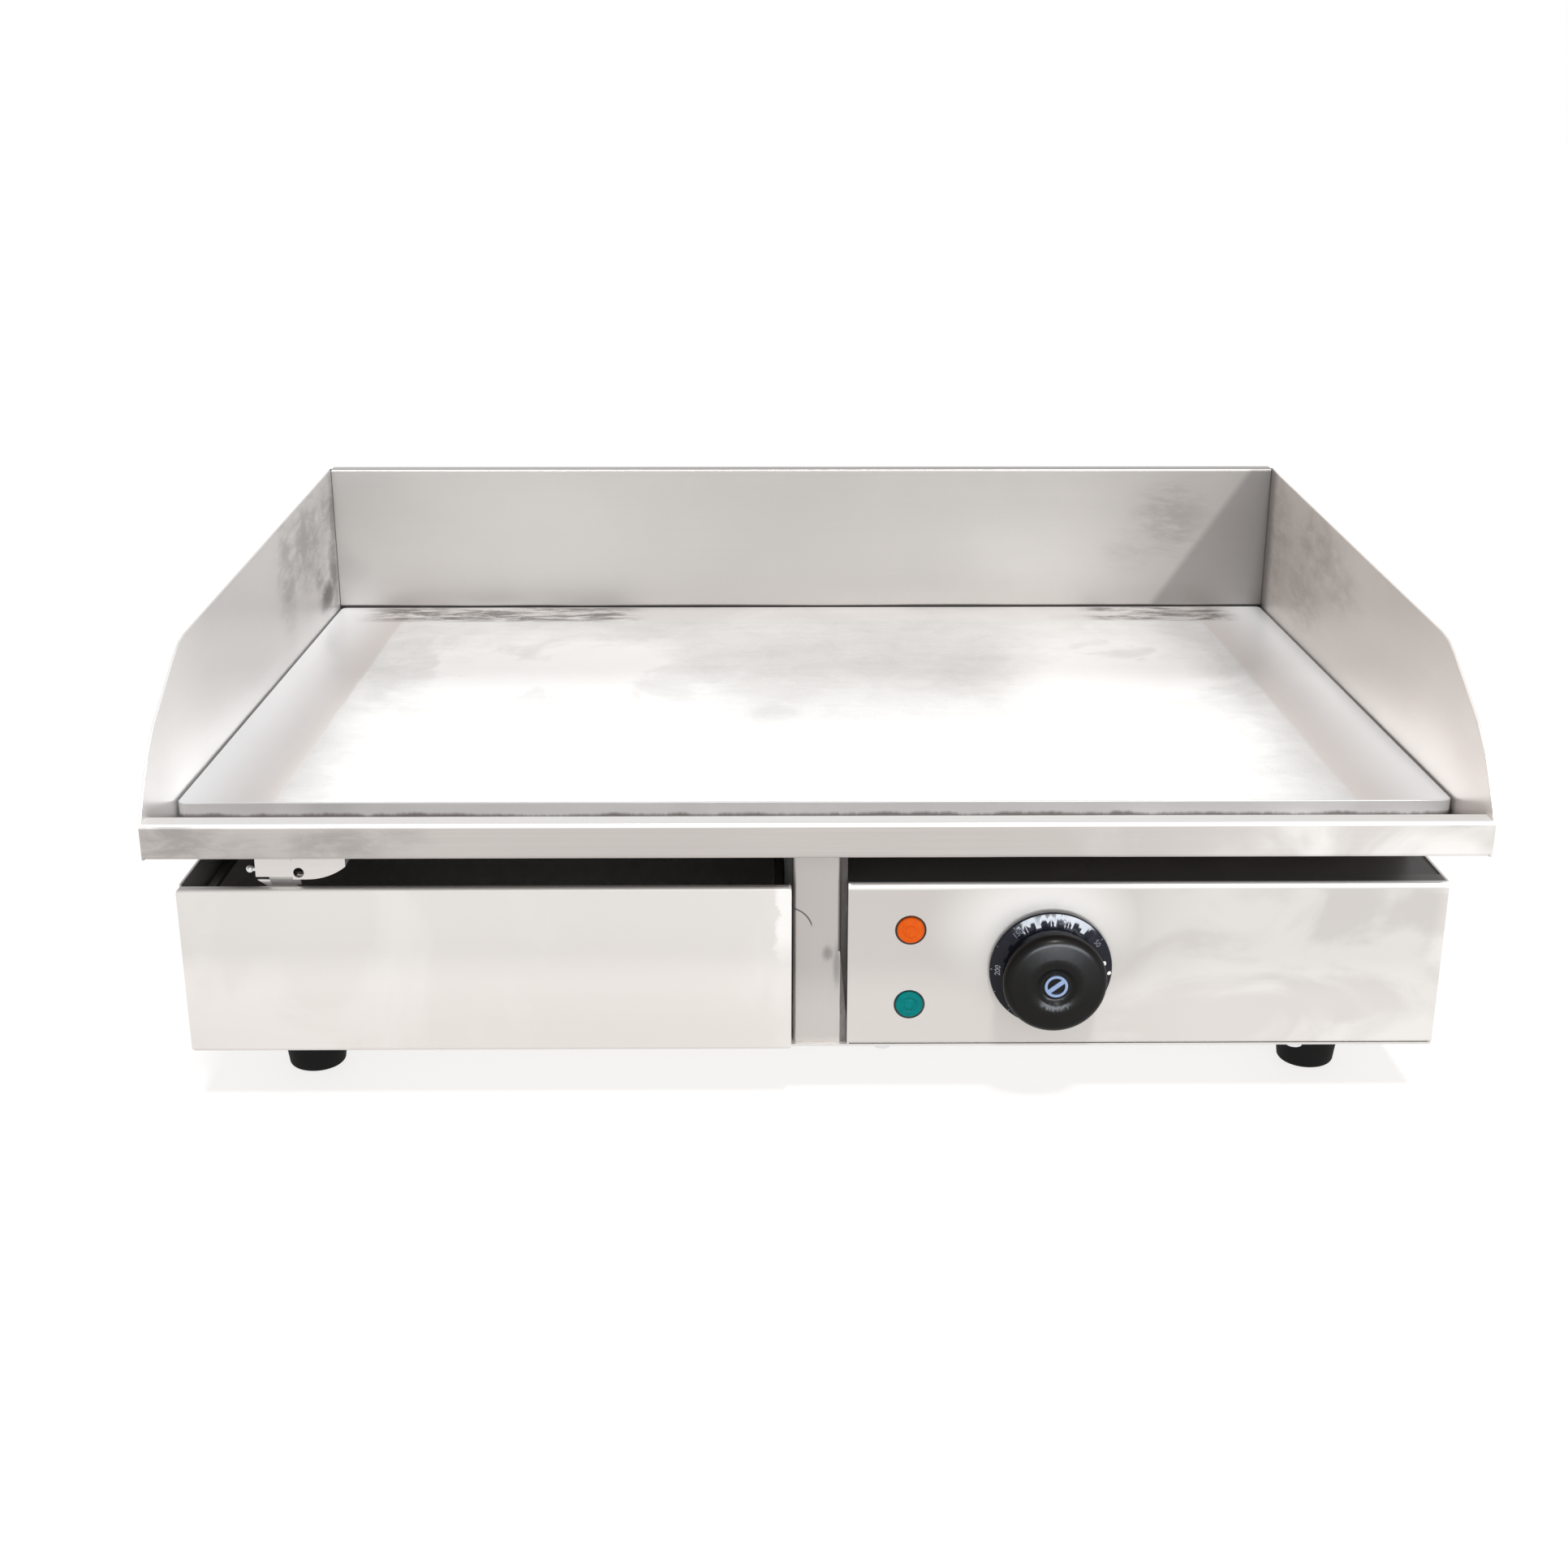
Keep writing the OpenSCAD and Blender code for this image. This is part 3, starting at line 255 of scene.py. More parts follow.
def plate_finish():
    """The cooking plate: a ground middle with specks, scuffs and two brighter patches, a smoother
    margin along the sides and the back, coloured along the sides as a painted reflection of the
    guards, and painted shade along its lower edge where it meets the gutter."""
    f = Finish("plate_ground_steel", Metallic=0.68, Anisotropic=0.3)
    f.grain_along("X")
    side_line = plate_high.x - 0.0405         # where the smooth margins begin
    back_line = plate_high.y - 0.027
    side = f.add(f.math("ABSOLUTE", f.x), f.times(f.less(f.noise(30.0, 3.0), 0.5), 0.003))
    sides = f.fade(side, side_line - 0.0025, side_line)
    back_edge = f.add(f.y, f.times(f.less(f.noise(24.0, 4.0), 0.5), 0.008))
    back = f.fade(back_edge, back_line - 0.013, back_line)
    margin = f.math("MAXIMUM", sides, back)
    inner = f.less(1.0, margin)

    specks = f.fade(f.noise(420.0, 3.0, grit=0.7), 0.60, 0.72)
    dark_specks = f.fade(f.noise(300.0, 4.0, offset=(5, 5, 5), grit=0.75), 0.60, 0.74)
    scuffs = f.noise(1.0, 4.0, (22, 160, 60), warp=0.7)
    clouds = f.noise(12.0, 5.0, (1, 0.75, 1), (2, 8, 1), warp=0.7)
    mottle = f.noise(60.0, 5.0, (0.9, 0.8, 1), (4, 2, 1), warp=0.7, grit=0.65)
    patches = f.fade(f.noise(20.0, 5.0, (1, 0.7, 1), (6, 1, 3), warp=0.6), 0.42, 0.56)
    bright = f.math("MAXIMUM",
                    f.blot((-0.135, 0.015, plate_high.z), (0.13, 0.16, 0.1)),
                    f.blot((0.165, 0.015, plate_high.z), (0.085, 0.17, 0.1)))
    bright = f.times(bright, f.add(0.35, f.times(patches, 0.65)))
    level = f.add(0.48, f.times(f.less(clouds, 0.5), 0.60))
    level = f.add(level, f.times(f.less(mottle, 0.5), 0.50))
    level = f.add(level, f.times(f.less(scuffs, 0.5), 0.22))
    level = f.add(level, f.times(bright, 0.75))
    level = f.add(level, f.times(specks, 0.30))
    level = f.less(level, f.times(dark_specks, 0.30))
    dull_spot = f.blot((-0.019, -0.038, plate_high.z), (0.02, 0.024, 0.1))
    level = f.less(level, f.times(dull_spot, 0.2))
    ground = f.mix(f.math("ADD", level, 0.0, clamp=True), *PLATE_GROUND)

    inward = f.fade(side, plate_high.x, plate_high.x - 0.042)       # 0 at the edge, 1 inside
    # The side margins' colour is a painted reflection of the guards, palest at the edge; the
    # right one is painted lighter against the right guard's shade.
    left_side = f.mix(inward, *PLATE_LEFT)
    right_side = f.mix(inward, *PLATE_RIGHT)
    side_margin_reflection = f.mix(f.fade(f.x, -0.01, 0.01), left_side, right_side)
    smooth_back = f.mix(f.noise(26.0, 5.0, warp=0.8), *PLATE_BACK)
    smooth = f.mix(sides, smooth_back, side_margin_reflection)
    colour = f.mix(margin, ground, smooth)

    strip = f.window(f.y, plate_high.y - 0.030, plate_high.y - 0.006, 0.008)
    spans = f.math("MAXIMUM", f.window(f.x, -0.235, -0.115, 0.03),
                   f.window(f.x, 0.18, 0.238, 0.02))
    smear = f.times(f.times(strip, spans),
                    f.fade(f.noise(70.0, 6.0, (0.5, 1.6, 1), warp=0.5, grit=0.75), 0.40, 0.60))
    colour = f.mix(f.times(smear, 0.95), colour, PLATE_SMEAR)
    joint = f.fade(f.y, plate_high.y - 0.0016, plate_high.y - 0.0004)
    colour = f.mix(f.times(joint, 0.8), colour, STEEL_JOINT_AND_SHADE)

    front = f.fade(f.y, plate_low.y + 0.0012, plate_low.y + 0.0004)
    colour = f.mix(f.times(front, 0.85), colour, PLATE_FRONT)
    # Painted shade along the plate's lower edge, where it meets the gutter.
    seam = f.add(f.z, f.times(f.less(f.noise(60.0, 5.0, (1, 1, 0.2), grit=0.7), 0.5), 0.005))
    gutter_shade = f.fade(seam, plate_low.z + 0.0035, plate_low.z + 0.0016)
    colour = f.mix(f.times(gutter_shade, 0.85), colour, PLATE_LOW_SHADE)

    rough = f.add(0.42, f.times(f.less(clouds, 0.5), 0.22))
    rough = f.add(rough, f.times(f.times(specks, inner), 0.15))
    rough = f.less(rough, f.times(margin, 0.08))
    relief = f.add(f.times(scuffs, 0.5), f.times(f.add(specks, dark_specks), 0.5))
    f.bump(f.times(relief, inner), 0.00002, 0.3)
    f.plug(f.shader.inputs["Coat Weight"], f.times(f.times(bright, inner), 0.9))
    f.shader.inputs["Coat Roughness"].default_value = 0.3
    return f.done(colour, rough)


def spangled(name, tone, rough=0.42):
    """Zinc-coated sheet with its crystal spangle."""
    f = Finish(name, Metallic=0.85)
    crystal = f.cells(110.0, output="Color")
    grey = f.tree.nodes.new("ShaderNodeRGBToBW")
    f.plug(grey.inputs[0], crystal)
    crystal = grey.outputs[0]
    dull = f.noise(30.0, 4.0, warp=0.5)
    level = f.add(f.times(crystal, 0.6), f.times(dull, 0.4))
    colour = f.mix(level, shade(tone, 0.72), shade(tone, 1.15))
    f.bump(crystal, 0.00003, 0.3)
    return f.done(colour, f.add(rough, f.times(f.less(crystal, 0.5), 0.16)))


def plated(name, tone, rough=0.22, tint=(0.5, 0.45, 0.4), fineness=160.0):
    """A small turned or pressed metal part: tool lines, and a little tarnish."""
    f = Finish(name, Metallic=1.0)
    tarnish = f.fade(f.noise(fineness, 5.0, grit=0.65), 0.45, 0.75)
    lines = f.noise(1.0, 2.0, (300, 2500, 300))
    colour = f.mix(f.times(tarnish, 0.45), tone, tuple(a * b for a, b in zip(tone, tint)))
    f.bump(lines, 0.00001, 0.3)
    return f.done(colour, f.add(rough, f.times(tarnish, 0.22)))


def heat_darkened():
    """Element tubes: straw, blue-brown and soot over dull steel."""
    f = Finish("element_sheath_heated", Metallic=0.9)
    bands = f.noise(16.0, 4.0, warp=0.8)
    soot = f.fade(f.noise(260.0, 5.0, grit=0.7), 0.48, 0.66)
    colour = f.mix(bands, (0.13, 0.12, 0.15), (0.36, 0.30, 0.24))
    colour = f.mix(f.times(soot, 0.7), colour, (0.05, 0.046, 0.045))
    f.bump(soot, 0.00004, 0.5)
    return f.done(colour, f.add(0.38, f.times(soot, 0.35)))


def painted(name, tone, rough=0.45):
    """Heat-resisting paint with a faint orange-peel skin and dust."""
    f = Finish(name, Metallic=0.0, Coat_Weight=0.15, Coat_Roughness=0.3)
    peel = f.noise(900.0, 2.0)
    dust = f.fade(f.noise(40.0, 5.0, grit=0.7), 0.50, 0.80)
    f.bump(peel, 0.00004, 0.35)
    return f.done(f.mix(f.times(dust, 0.4), tone, shade(tone, 2.0)),
                  f.add(rough, f.times(dust, 0.25)))


def moulded(name, tone, rough=0.4, grain=700.0, depth=0.00003, lift=1.35, **constants):
    """Moulded plastic or rubber: a fine skin, slight colour drift and handling polish."""
    f = Finish(name, **constants)
    skin = f.noise(grain, 3.0, grit=0.6)
    drift = f.noise(45.0, 4.0, warp=0.4)
    level = f.add(f.times(drift, 0.7), f.times(skin, 0.3))
    f.bump(skin, depth, 0.5)
    return f.done(f.mix(level, shade(tone, 0.78), shade(tone, lift)),
                  f.add(rough, f.times(f.less(drift, 0.5), 0.2)))


def lens(name, tone, glow):
    """Coloured lamp lens: faintly uneven plastic with a thin gloss."""
    f = Finish(name, Coat_Weight=0.04, Coat_Roughness=0.06, Specular_IOR_Level=0.06)
    drift = f.noise(300.0, 3.0)
    f.bump(f.noise(900.0, 2.0), 0.00002, 0.25)
    colour = f.mix(drift, shade(tone, 0.82), glow)
    return f.done(colour, f.add(0.3, f.times(drift, 0.1)))


def woolly():
    """Pressed mineral wool: a pale tangle of fibres with darker specks."""
    f = Finish("mineral_wool_felt", Sheen_Weight=0.4, Sheen_Roughness=0.6)
    fibre = f.noise(420.0, 6.0, (1.0, 0.25, 1.0), warp=1.6, grit=0.75)
    tuft = f.noise(60.0, 4.0, warp=0.8)
    colour = f.mix(fibre, (0.50, 0.46, 0.38), (0.92, 0.90, 0.84))
    colour = f.mix(f.fade(f.noise(500.0, 2.0, offset=(1, 2, 3)), 0.68, 0.78), colour,
                   (0.24, 0.20, 0.16))
    f.bump(f.add(fibre, f.times(tuft, 2.0)), 0.0006, 0.8)
    return f.done(colour, f.add(0.85, f.times(f.less(fibre, 0.5), 0.1)))


def glazed():
    """Steatite insulators: cream, faintly crazed and dusty."""
    f = Finish("ceramic_steatite", Coat_Weight=0.3, Coat_Roughness=0.2)
    craze = f.fade(f.cells(180.0, "DISTANCE_TO_EDGE"), 0.05, 0.0)
    drift = f.noise(70.0, 4.0)
    colour = f.mix(drift, (0.78, 0.74, 0.66), (0.92, 0.90, 0.85))
    colour = f.mix(f.times(craze, 0.35), colour, (0.5, 0.43, 0.35))
    f.bump(drift, 0.00004, 0.4)
    return f.done(colour, f.add(0.5, f.times(f.less(drift, 0.5), 0.2)))


# ---------------------------------------------------------------- stains, painted light and painted shade

MARK_REACH = 0.0009                       # less than a sheet, so that its far side stays clean


def flat_marks(plane, value, spots):
    """Stains on a flat face, each (centre, radii, depth); spots are (u, v, ru, rv, depth)
    along the face's own two axes."""
    out = []
    for u, v, ru, rv, depth in spots:
        centre, radii = [u, v], [ru, rv]
        centre.insert("XYZ".index(plane), value)
        radii.insert("XYZ".index(plane), MARK_REACH)
        out.append((centre, radii, depth))
    return out


apron_marks = flat_marks("Y", apron_low.y, [
    (-0.262, 0.1425, 0.034, 0.020, 0.48), (-0.236, 0.139, 0.026, 0.012, 0.34),
    (-0.196, 0.1405, 0.040, 0.014, 0.42), (-0.172, 0.142, 0.022, 0.012, 0.30),
    (0.262, 0.148, 0.012, 0.003, 0.3)])
left_guard_marks = flat_marks("X", -guard_face, [
    (0.110, 0.196, 0.075, 0.040, 0.50), (0.060, 0.190, 0.035, 0.045, 0.42),
    (0.150, 0.158, 0.034, 0.014, 0.85), (0.135, 0.172, 0.030, 0.012, 0.50),
    (0.168, 0.170, 0.020, 0.036, 0.65), (0.176, 0.200, 0.018, 0.034, 0.60),
    (0.160, 0.205, 0.030, 0.028, 0.42)])
right_guard_marks = flat_marks("X", guard_face, [
    (0.070, 0.200, 0.075, 0.032, 0.38), (0.095, 0.172, 0.060, 0.034, 0.32),
    (0.030, 0.190, 0.060, 0.022, 0.30), (0.150, 0.190, 0.050, 0.060, 0.30)])
splash_marks = flat_marks("Y", splash_low.y, [(0.216, 0.196, 0.034, 0.036, 0.36),
                                              (0.196, 0.178, 0.026, 0.020, 0.20)])
post_marks = flat_marks("Y", post_low.y, [
    (0.0055, 0.072, 0.004, 0.006, 0.6), (0.0095, 0.066, 0.003, 0.016, 0.5)])


def post_scratch(f):
    """The thin curved scratch near the top of the centre post."""
    ring_x, ring_z, ring_r = -0.0123, 0.0826, 0.0109
    dx, dz = f.less(f.x, ring_x), f.less(f.z, ring_z)
    reach = f.math("SQRT", f.add(f.times(dx, dx), f.times(dz, dz)))
    line = f.window(reach, ring_r, ring_r, 0.0005)
    part = f.times(f.fade(f.x, -0.0100, -0.0085), f.fade(f.z, 0.0840, 0.0870))
    return f.times(f.times(line, part), 2.2)


def gutter_floor_shade(f):
    """Painted shade on the gutter's floor, behind the lip and below the plate's edge."""
    deep = f.fade(f.z, apron_low.z + 0.0035, apron_low.z + 0.0012)
    return f.times(f.times(deep, f.fade(f.y, apron_low.y + 0.012, apron_low.y + 0.03)), 0.55)


def apron_lip_highlight_and_pale_end(f):
    """A painted highlight on the lip's top, and the apron's right-hand end is brighter."""
    lip = f.fade(f.z, apron_high.z - 0.0022, apron_high.z - 0.0014)
    patches = f.fade(f.noise(28.0, 4.0, (0.6, 1, 1), (4, 4, 4), warp=0.6), 0.40, 0.62)
    right = f.times(f.fade(f.x, 0.06, 0.26), f.add(0.25, f.times(patches, 0.45)))
    return f.math("MAXIMUM", lip, right)


def panel_painted_light_and_clouds(f):
    """Paler clouds on the right-hand half of the control panel, painted light in a ring around
    the knob where its shadow falls, and a painted highlight along the top edge."""
    patches = f.fade(f.noise(24.0, 5.0, (0.7, 1, 1), (1, 6, 2), warp=0.9), 0.42, 0.60)
    right = f.times(f.fade(f.x, 0.10, 0.18), f.add(0.10, f.times(patches, 0.28)))
    halo = f.blot((knob_axis.x - 0.004, panel_low.y, knob_axis.z + 0.020), (0.056, 0.05, 0.038))
    top = f.fade(f.z, panel_high.z - 0.0035, panel_high.z - 0.002)
    return f.math("MAXIMUM", top, f.math("MAXIMUM", right, halo))


def drawer_corner_highlight_and_patches(f):
    """A painted highlight down the rounded top-right corner of the drawer front, faint wiped
    patches, and the front lighter towards its top.
    """
    patches = f.fade(f.noise(20.0, 4.0, (1, 1, 0.6), (2, 2, 7), warp=0.7), 0.48, 0.66)
    edge = f.add(f.x, f.times(f.less(f.noise(120.0, 5.0, grit=0.7), 0.5), 0.012))
    corner = f.times(f.fade(edge, drawer_high.x - 0.010, drawer_high.x - 0.005),
                     f.fade(f.z, drawer_high.z - 0.045, drawer_high.z - 0.02))
    upper = f.times(f.fade(f.z, drawer_low.z, drawer_high.z), 0.28)
    return f.math("MAXIMUM", f.add(upper, f.times(patches, 0.12)), f.times(corner, 0.85))


def post_scratch_and_step_shade(f):
    """The scratch, and painted shade on the step that runs behind the panel's edge."""
    step = f.fade(f.x, post_step_x - 0.0003, post_step_x + 0.0003)
    scuff = f.fade(f.noise(140.0, 5.0, (1, 1, 0.25), grit=0.7), 0.40, 0.60)
    dim = f.times(step, f.add(0.85, f.times(scuff, 0.6)))
    return f.math("MAXIMUM", dim, post_scratch(f))


def post_step_shade(f):
    """Painted shade on the step again, even."""
    return f.times(f.fade(f.x, post_step_x - 0.0003, post_step_x + 0.0003), 0.35)


def panel_flange_shade(f):
    """Painted shade on the panel's top flange, behind its bright edge."""
    behind = f.fade(f.y, panel_low.y + 0.0012, panel_low.y + 0.0022)
    return f.times(f.times(behind, f.fade(f.z, panel_high.z - 0.003, panel_high.z - 0.002)), 0.9)


def splash_lift(f):
    """The left-hand end of the splash is a little brighter."""
    return f.times(f.fade(f.x, -0.02, -0.20), 0.15)


def splash_shadow_and_joint(f):
    """A painted shadow of the right guard beside the right-hand corner, cut off along a slant,
    painted shade growing towards that corner, and the dark joint above the plate."""
    slant = f.less(f.x, f.add(guard_x - 0.055, f.times(f.less(f.z, plate_high.z), 0.67)))
    corner = f.times(f.fade(slant, -0.003, 0.004), 0.32)
    soft = f.times(f.fade(f.x, guard_x - 0.11, guard_x - 0.01), 0.14)
    wave = f.noise(14.0, 3.0, offset=(3, 3, 3))
    joint = f.fade(f.less(f.z, f.times(wave, 0.0012)), plate_high.z + 0.0009, plate_high.z)
    front = f.fade(f.y, splash_low.y + 0.0009, splash_low.y + 0.0003)
    return f.times(f.math("MAXIMUM", f.add(corner, soft), f.times(joint, 0.95)), front)


def left_guard_lift(f):
    """The left guard's front end is brighter."""
    return f.times(f.fade(f.y, -0.09, -0.17), 0.6)


def guard_joint_and_corner_shade(f):
    """The dark joint where a guard meets the back splash, and a band of painted shade beside it,
    deeper on the right guard.
    """
    wave = f.times(f.less(f.noise(30.0, 4.0), 0.5), 0.006)
    band = f.fade(f.add(f.y, wave), splash_low.y - 0.020, splash_low.y - 0.004)
    seam = f.fade(f.y, splash_low.y - 0.0030, splash_low.y - 0.0012)
    return f.math("MAXIMUM", f.times(band, f.add(0.22, f.times(f.fade(f.x, 0.0, 0.1), 0.34))),
                  f.times(seam, 0.8))


def chute_ramp_light(f):
    """Painted light on the ramp and tail, where the block shades them."""
    return f.fade(f.y, chute_back - 0.0015, chute_back - 0.0005)


def chute_hollow_shade_and_joints(f):
    """Painted shade in the hollow behind the mouth, and the dark joint below the gutter."""
    inside = f.times(f.window(f.x, chute_mid - 0.0035, chute_mid + 0.0098, 0.0004),
                     f.window(f.y, chute_front + 0.0002, chute_back - 0.0012, 0.0002))
    inside = f.times(inside, f.fade(f.z, chute_floor + 0.0010, chute_floor + 0.0014))
    wave = f.times(f.less(f.noise(400.0, 3.0), 0.5), 0.0012)
    top = f.fade(f.add(f.z, wave), chute_high.z - 0.0012, chute_high.z - 0.0004)
    side = f.window(f.add(f.x, wave), chute_mid - 0.0002, chute_mid + 0.0002, 0.0002)
    upper = f.fade(f.z, chute_floor + 0.007, chute_floor + 0.012)
    joint = f.math("MAXIMUM", f.times(top, 0.8), f.times(side, f.times(upper, 0.7)))
    return f.math("MAXIMUM", inside, joint)


def pan_rim_shade(f):
    """Painted shade on the rim of the drawer pan."""
    return f.times(f.fade(f.z, pan_high.z - 0.003, pan_high.z - 0.001), 0.93)


# ---------------------------------------------------------------- which piece wears what

# The steel pieces below are one stainless in tones of their own, lighter or darker to suit the
# light on each: painted light and shade.
WARM = (0.64, 0.61, 0.585)
FINISHES = {
    "griddle_plate": plate_finish(),
    "front_gutter": brushed("apron_steel", "X", (0.46, 0.432, 0.415), 0.38, 0.10, 0.16,
                            apron_marks, gutter_floor_shade, apron_lip_highlight_and_pale_end),
    "drawer_front": brushed("drawer_steel", "X", WARM, 0.40, 0.06, 0.03, lift=drawer_corner_highlight_and_patches),
    "control_panel": brushed("panel_steel", "X", (0.57, 0.543, 0.52), 0.40, 0.08, 0.03,
                             lift=panel_painted_light_and_clouds, tint=panel_flange_shade),
    "centre_post": brushed("post_steel", "Z", (0.47, 0.445, 0.43), 0.38, 0.08, 0.05,
                           post_marks, post_scratch_and_step_shade, tint=post_step_shade),
    "back_splash": brushed("splash_steel", "X", (0.46, 0.443, 0.43), 0.40, 0.14, 0.05,
                           splash_marks, lift=splash_lift, tint=splash_shadow_and_joint),
    "left_guard": brushed("left_guard_steel", "Y", (0.78, 0.765, 0.755), 0.38, 0.12, 0.06,
                          left_guard_marks, lift=left_guard_lift, tint=guard_joint_and_corner_shade),
    "right_guard": brushed("right_guard_steel", "Y", (0.84, 0.785, 0.745), 0.38, 0.10, 0.06,
                           right_guard_marks, tint=guard_joint_and_corner_shade),
    "drawer_pan": brushed("pan_steel", "Y", tint=pan_rim_shade),
    "left_side_panel": brushed("left_side_steel", "Y"),
    "right_side_panel": brushed("right_side_steel", "Y"),
    "rear_panel": brushed("rear_steel"),
    "drain_chute": brushed("chute_steel", "X", (0.66, 0.63, 0.61), 0.28, 0.10, 0.06,
                           lift=chute_ramp_light, tint=chute_hollow_shade_and_joints),
    "lamp_clips": painted("lamp_clip_black", (0.03, 0.03, 0.03)),
}
BY_SLOT = {
    "stainless": brushed("inner_steel"),
    "plate_steel": FINISHES["griddle_plate"],
    # black paint in the recess under the gutter stands in for the shade there
    "dark_steel": painted("recess_black_shade", (0.062, 0.056, 0.054)),
    "galvanised": spangled("galvanised_spangle", (0.66, 0.67, 0.68)),
    "zinc": plated("zinc_plate", (0.72, 0.73, 0.75), 0.26, (0.72, 0.70, 0.62)),
    "element_sheath": heat_darkened(),
    "ceramic": glazed(),
    "mineral_wool": woolly(),
    "brass": plated("turned_brass", (0.80, 0.62, 0.30), 0.22, (0.62, 0.50, 0.42)),
    "copper": plated("drawn_copper", (0.78, 0.46, 0.32), 0.25, (0.55, 0.45, 0.42)),
    # the chrome's dark blue colour is a painted reflection
    "chrome": plated("chrome_blue_reflection", (0.30, 0.40, 0.62), 0.10, (0.85, 0.86, 0.9), 400.0),
    "bakelite": moulded("black_bakelite", (0.002, 0.0018, 0.0016), 0.34, 900.0, 0.00002,
                        1.6, Specular_IOR_Level=0.06, Coat_Weight=0.03, Coat_Roughness=0.2),
    "dial_black": moulded("dial_gloss_black", (0.002, 0.002, 0.003), 0.16, 500.0, 0.000006,
                          1.6, Coat_Weight=0.2, Coat_Roughness=0.07, Specular_IOR_Level=0.08),
    "orange_lens": lens("orange_lamp", (0.78, 0.10, 0.004), (0.86, 0.14, 0.012)),
    "green_lens": lens("green_lamp", (0.0, 0.12, 0.12), (0.0, 0.175, 0.17)),
    "white_plastic": moulded("white_polyamide", (0.80, 0.79, 0.75), 0.45, lift=1.08),
    "black_plastic": moulded("black_polyamide", (0.03, 0.03, 0.03), 0.5, lift=1.8),
    "wire": moulded("silicone_wire", (0.50, 0.09, 0.07), 0.5, 500.0, lift=1.2),
    "rubber": moulded("foot_rubber", (0.004, 0.004, 0.004), 0.72, 800.0, 0.00008, 1.9,
                      Specular_IOR_Level=0.15),
}


# ---------------------------------------------------------------- edges of the CAD pieces

def soft_edges_group(limit):
    """Geometry nodes that drop a mesh's stored normals and shade it smooth, with creases
    only where faces turn by more than limit."""
    group = bpy.data.node_groups.new("crease_by_angle", "GeometryNodeTree")
    group.interface.new_socket("Geometry", in_out="INPUT", socket_type="NodeSocketGeometry")
    group.interface.new_socket("Geometry", in_out="OUTPUT", socket_type="NodeSocketGeometry")
    new, link = group.nodes.new, group.links.new
    source, sink = new("NodeGroupInput"), new("NodeGroupOutput")
    clear = new("GeometryNodeRemoveAttribute")
    clear.inputs["Name"].default_value = "custom_normal"
    faces, edges = new("GeometryNodeSetShadeSmooth"), new("GeometryNodeSetShadeSmooth")
    faces.domain, edges.domain = "FACE", "EDGE"
    angle, compare = new("GeometryNodeInputMeshEdgeAngle"), new("FunctionNodeCompare")
    compare.operation = "LESS_EQUAL"
    compare.inputs["B"].default_value = limit
    link(source.outputs[0], clear.inputs["Geometry"])
    link(clear.outputs[0], faces.inputs["Geometry"])
    link(faces.outputs[0], edges.inputs["Geometry"])
    link(angle.outputs["Unsigned Angle"], compare.inputs["A"])
    link(compare.outputs[0], edges.inputs["Shade Smooth"])
    link(edges.outputs[0], sink.inputs[0])
    return group


CREASE = math.radians(32)
FLAT = math.radians(0.5)                  # faces that turn by less than this are one face
WELD = 0.01 * MM
FINE_EDGE, PLAIN_EDGE = 0.06 * MM, 0.2 * MM
creases = soft_edges_group(CREASE)
EDGE_WIDTH = {"griddle_plate": 0.6 * MM, "rubber_feet": 1.0 * MM, "knob_grip": 0.25 * MM,
              "drawer_front": 0.3 * MM, "control_panel": 0.3 * MM, "front_gutter": 0.3 * MM,
              "insulation_blanket": 1.5 * MM}
FINE_SLOTS = ("zinc", "brass", "copper", "wire", "orange_lens", "green_lens", "chrome")

for name, piece in nodes.items():
    slots = [m.name.split(".")[0] for m in piece.data.materials]
    for index, slot in enumerate(slots):
        piece.material_slots[index].material = FINISHES.get(name) or BY_SLOT[slot]
    weld = piece.modifiers.new("weld", "WELD")
    weld.merge_threshold = WELD
    flat = piece.modifiers.new("flat_faces", "DECIMATE")     # joins the triangles of flat faces
    flat.decimate_type, flat.angle_limit = "DISSOLVE", FLAT
    bevel = piece.modifiers.new("worn_edge", "BEVEL")
    bevel.width = EDGE_WIDTH.get(name, FINE_EDGE if slots[0] in FINE_SLOTS else PLAIN_EDGE)
    bevel.segments = 2
    bevel.limit_method = "ANGLE"
    bevel.angle_limit = CREASE
    piece.modifiers.new("creases", "NODES").node_group = creases
    even = piece.modifiers.new("even_faces", "WEIGHTED_NORMAL")     # keeps wide faces flat
    even.weight, even.keep_sharp = 100, True


# ---------------------------------------------------------------- print on the dial

SKIRT_OUT, SKIRT_RISE_OUT = 26.7 * MM, 1.6 * MM      # radius and rise of the sloping face
SKIRT_IN, SKIRT_RISE_IN = 20.3 * MM, 4.5 * MM
PRINT = 0.04 * MM                         # thickness of the print
NUMBERS = ("50", "100", "150", "200", "250", "300")
NUMBER_HEIGHT = 2.3 * MM
FIRST_NUMBER, NUMBER_STEP = math.radians(34), math.radians(48.2)
LONG_TICK, SHORT_TICK = (0.16 * MM, 1.0 * MM), (0.1 * MM, 0.7 * MM)      # half width, length
TICK_GAP = 0.1 * MM                       # from a tick's end to the skirt's rim
INK_GREY, INK_WHITE = (0.26, 0.28, 0.33), (0.80, 0.80, 0.80)


def on_skirt(angle, reach):
    """A point on the dial's sloping face; angle is anticlockwise from 3 o'clock, seen from
    the front."""
    share = (reach - SKIRT_IN) / (SKIRT_OUT - SKIRT_IN)
    rise = SKIRT_RISE_IN + share * (SKIRT_RISE_OUT - SKIRT_RISE_IN)
    return Vector((knob_axis.x + reach * math.cos(angle), dial_high.y - rise - PRINT,
                   knob_axis.z + reach * math.sin(angle)))


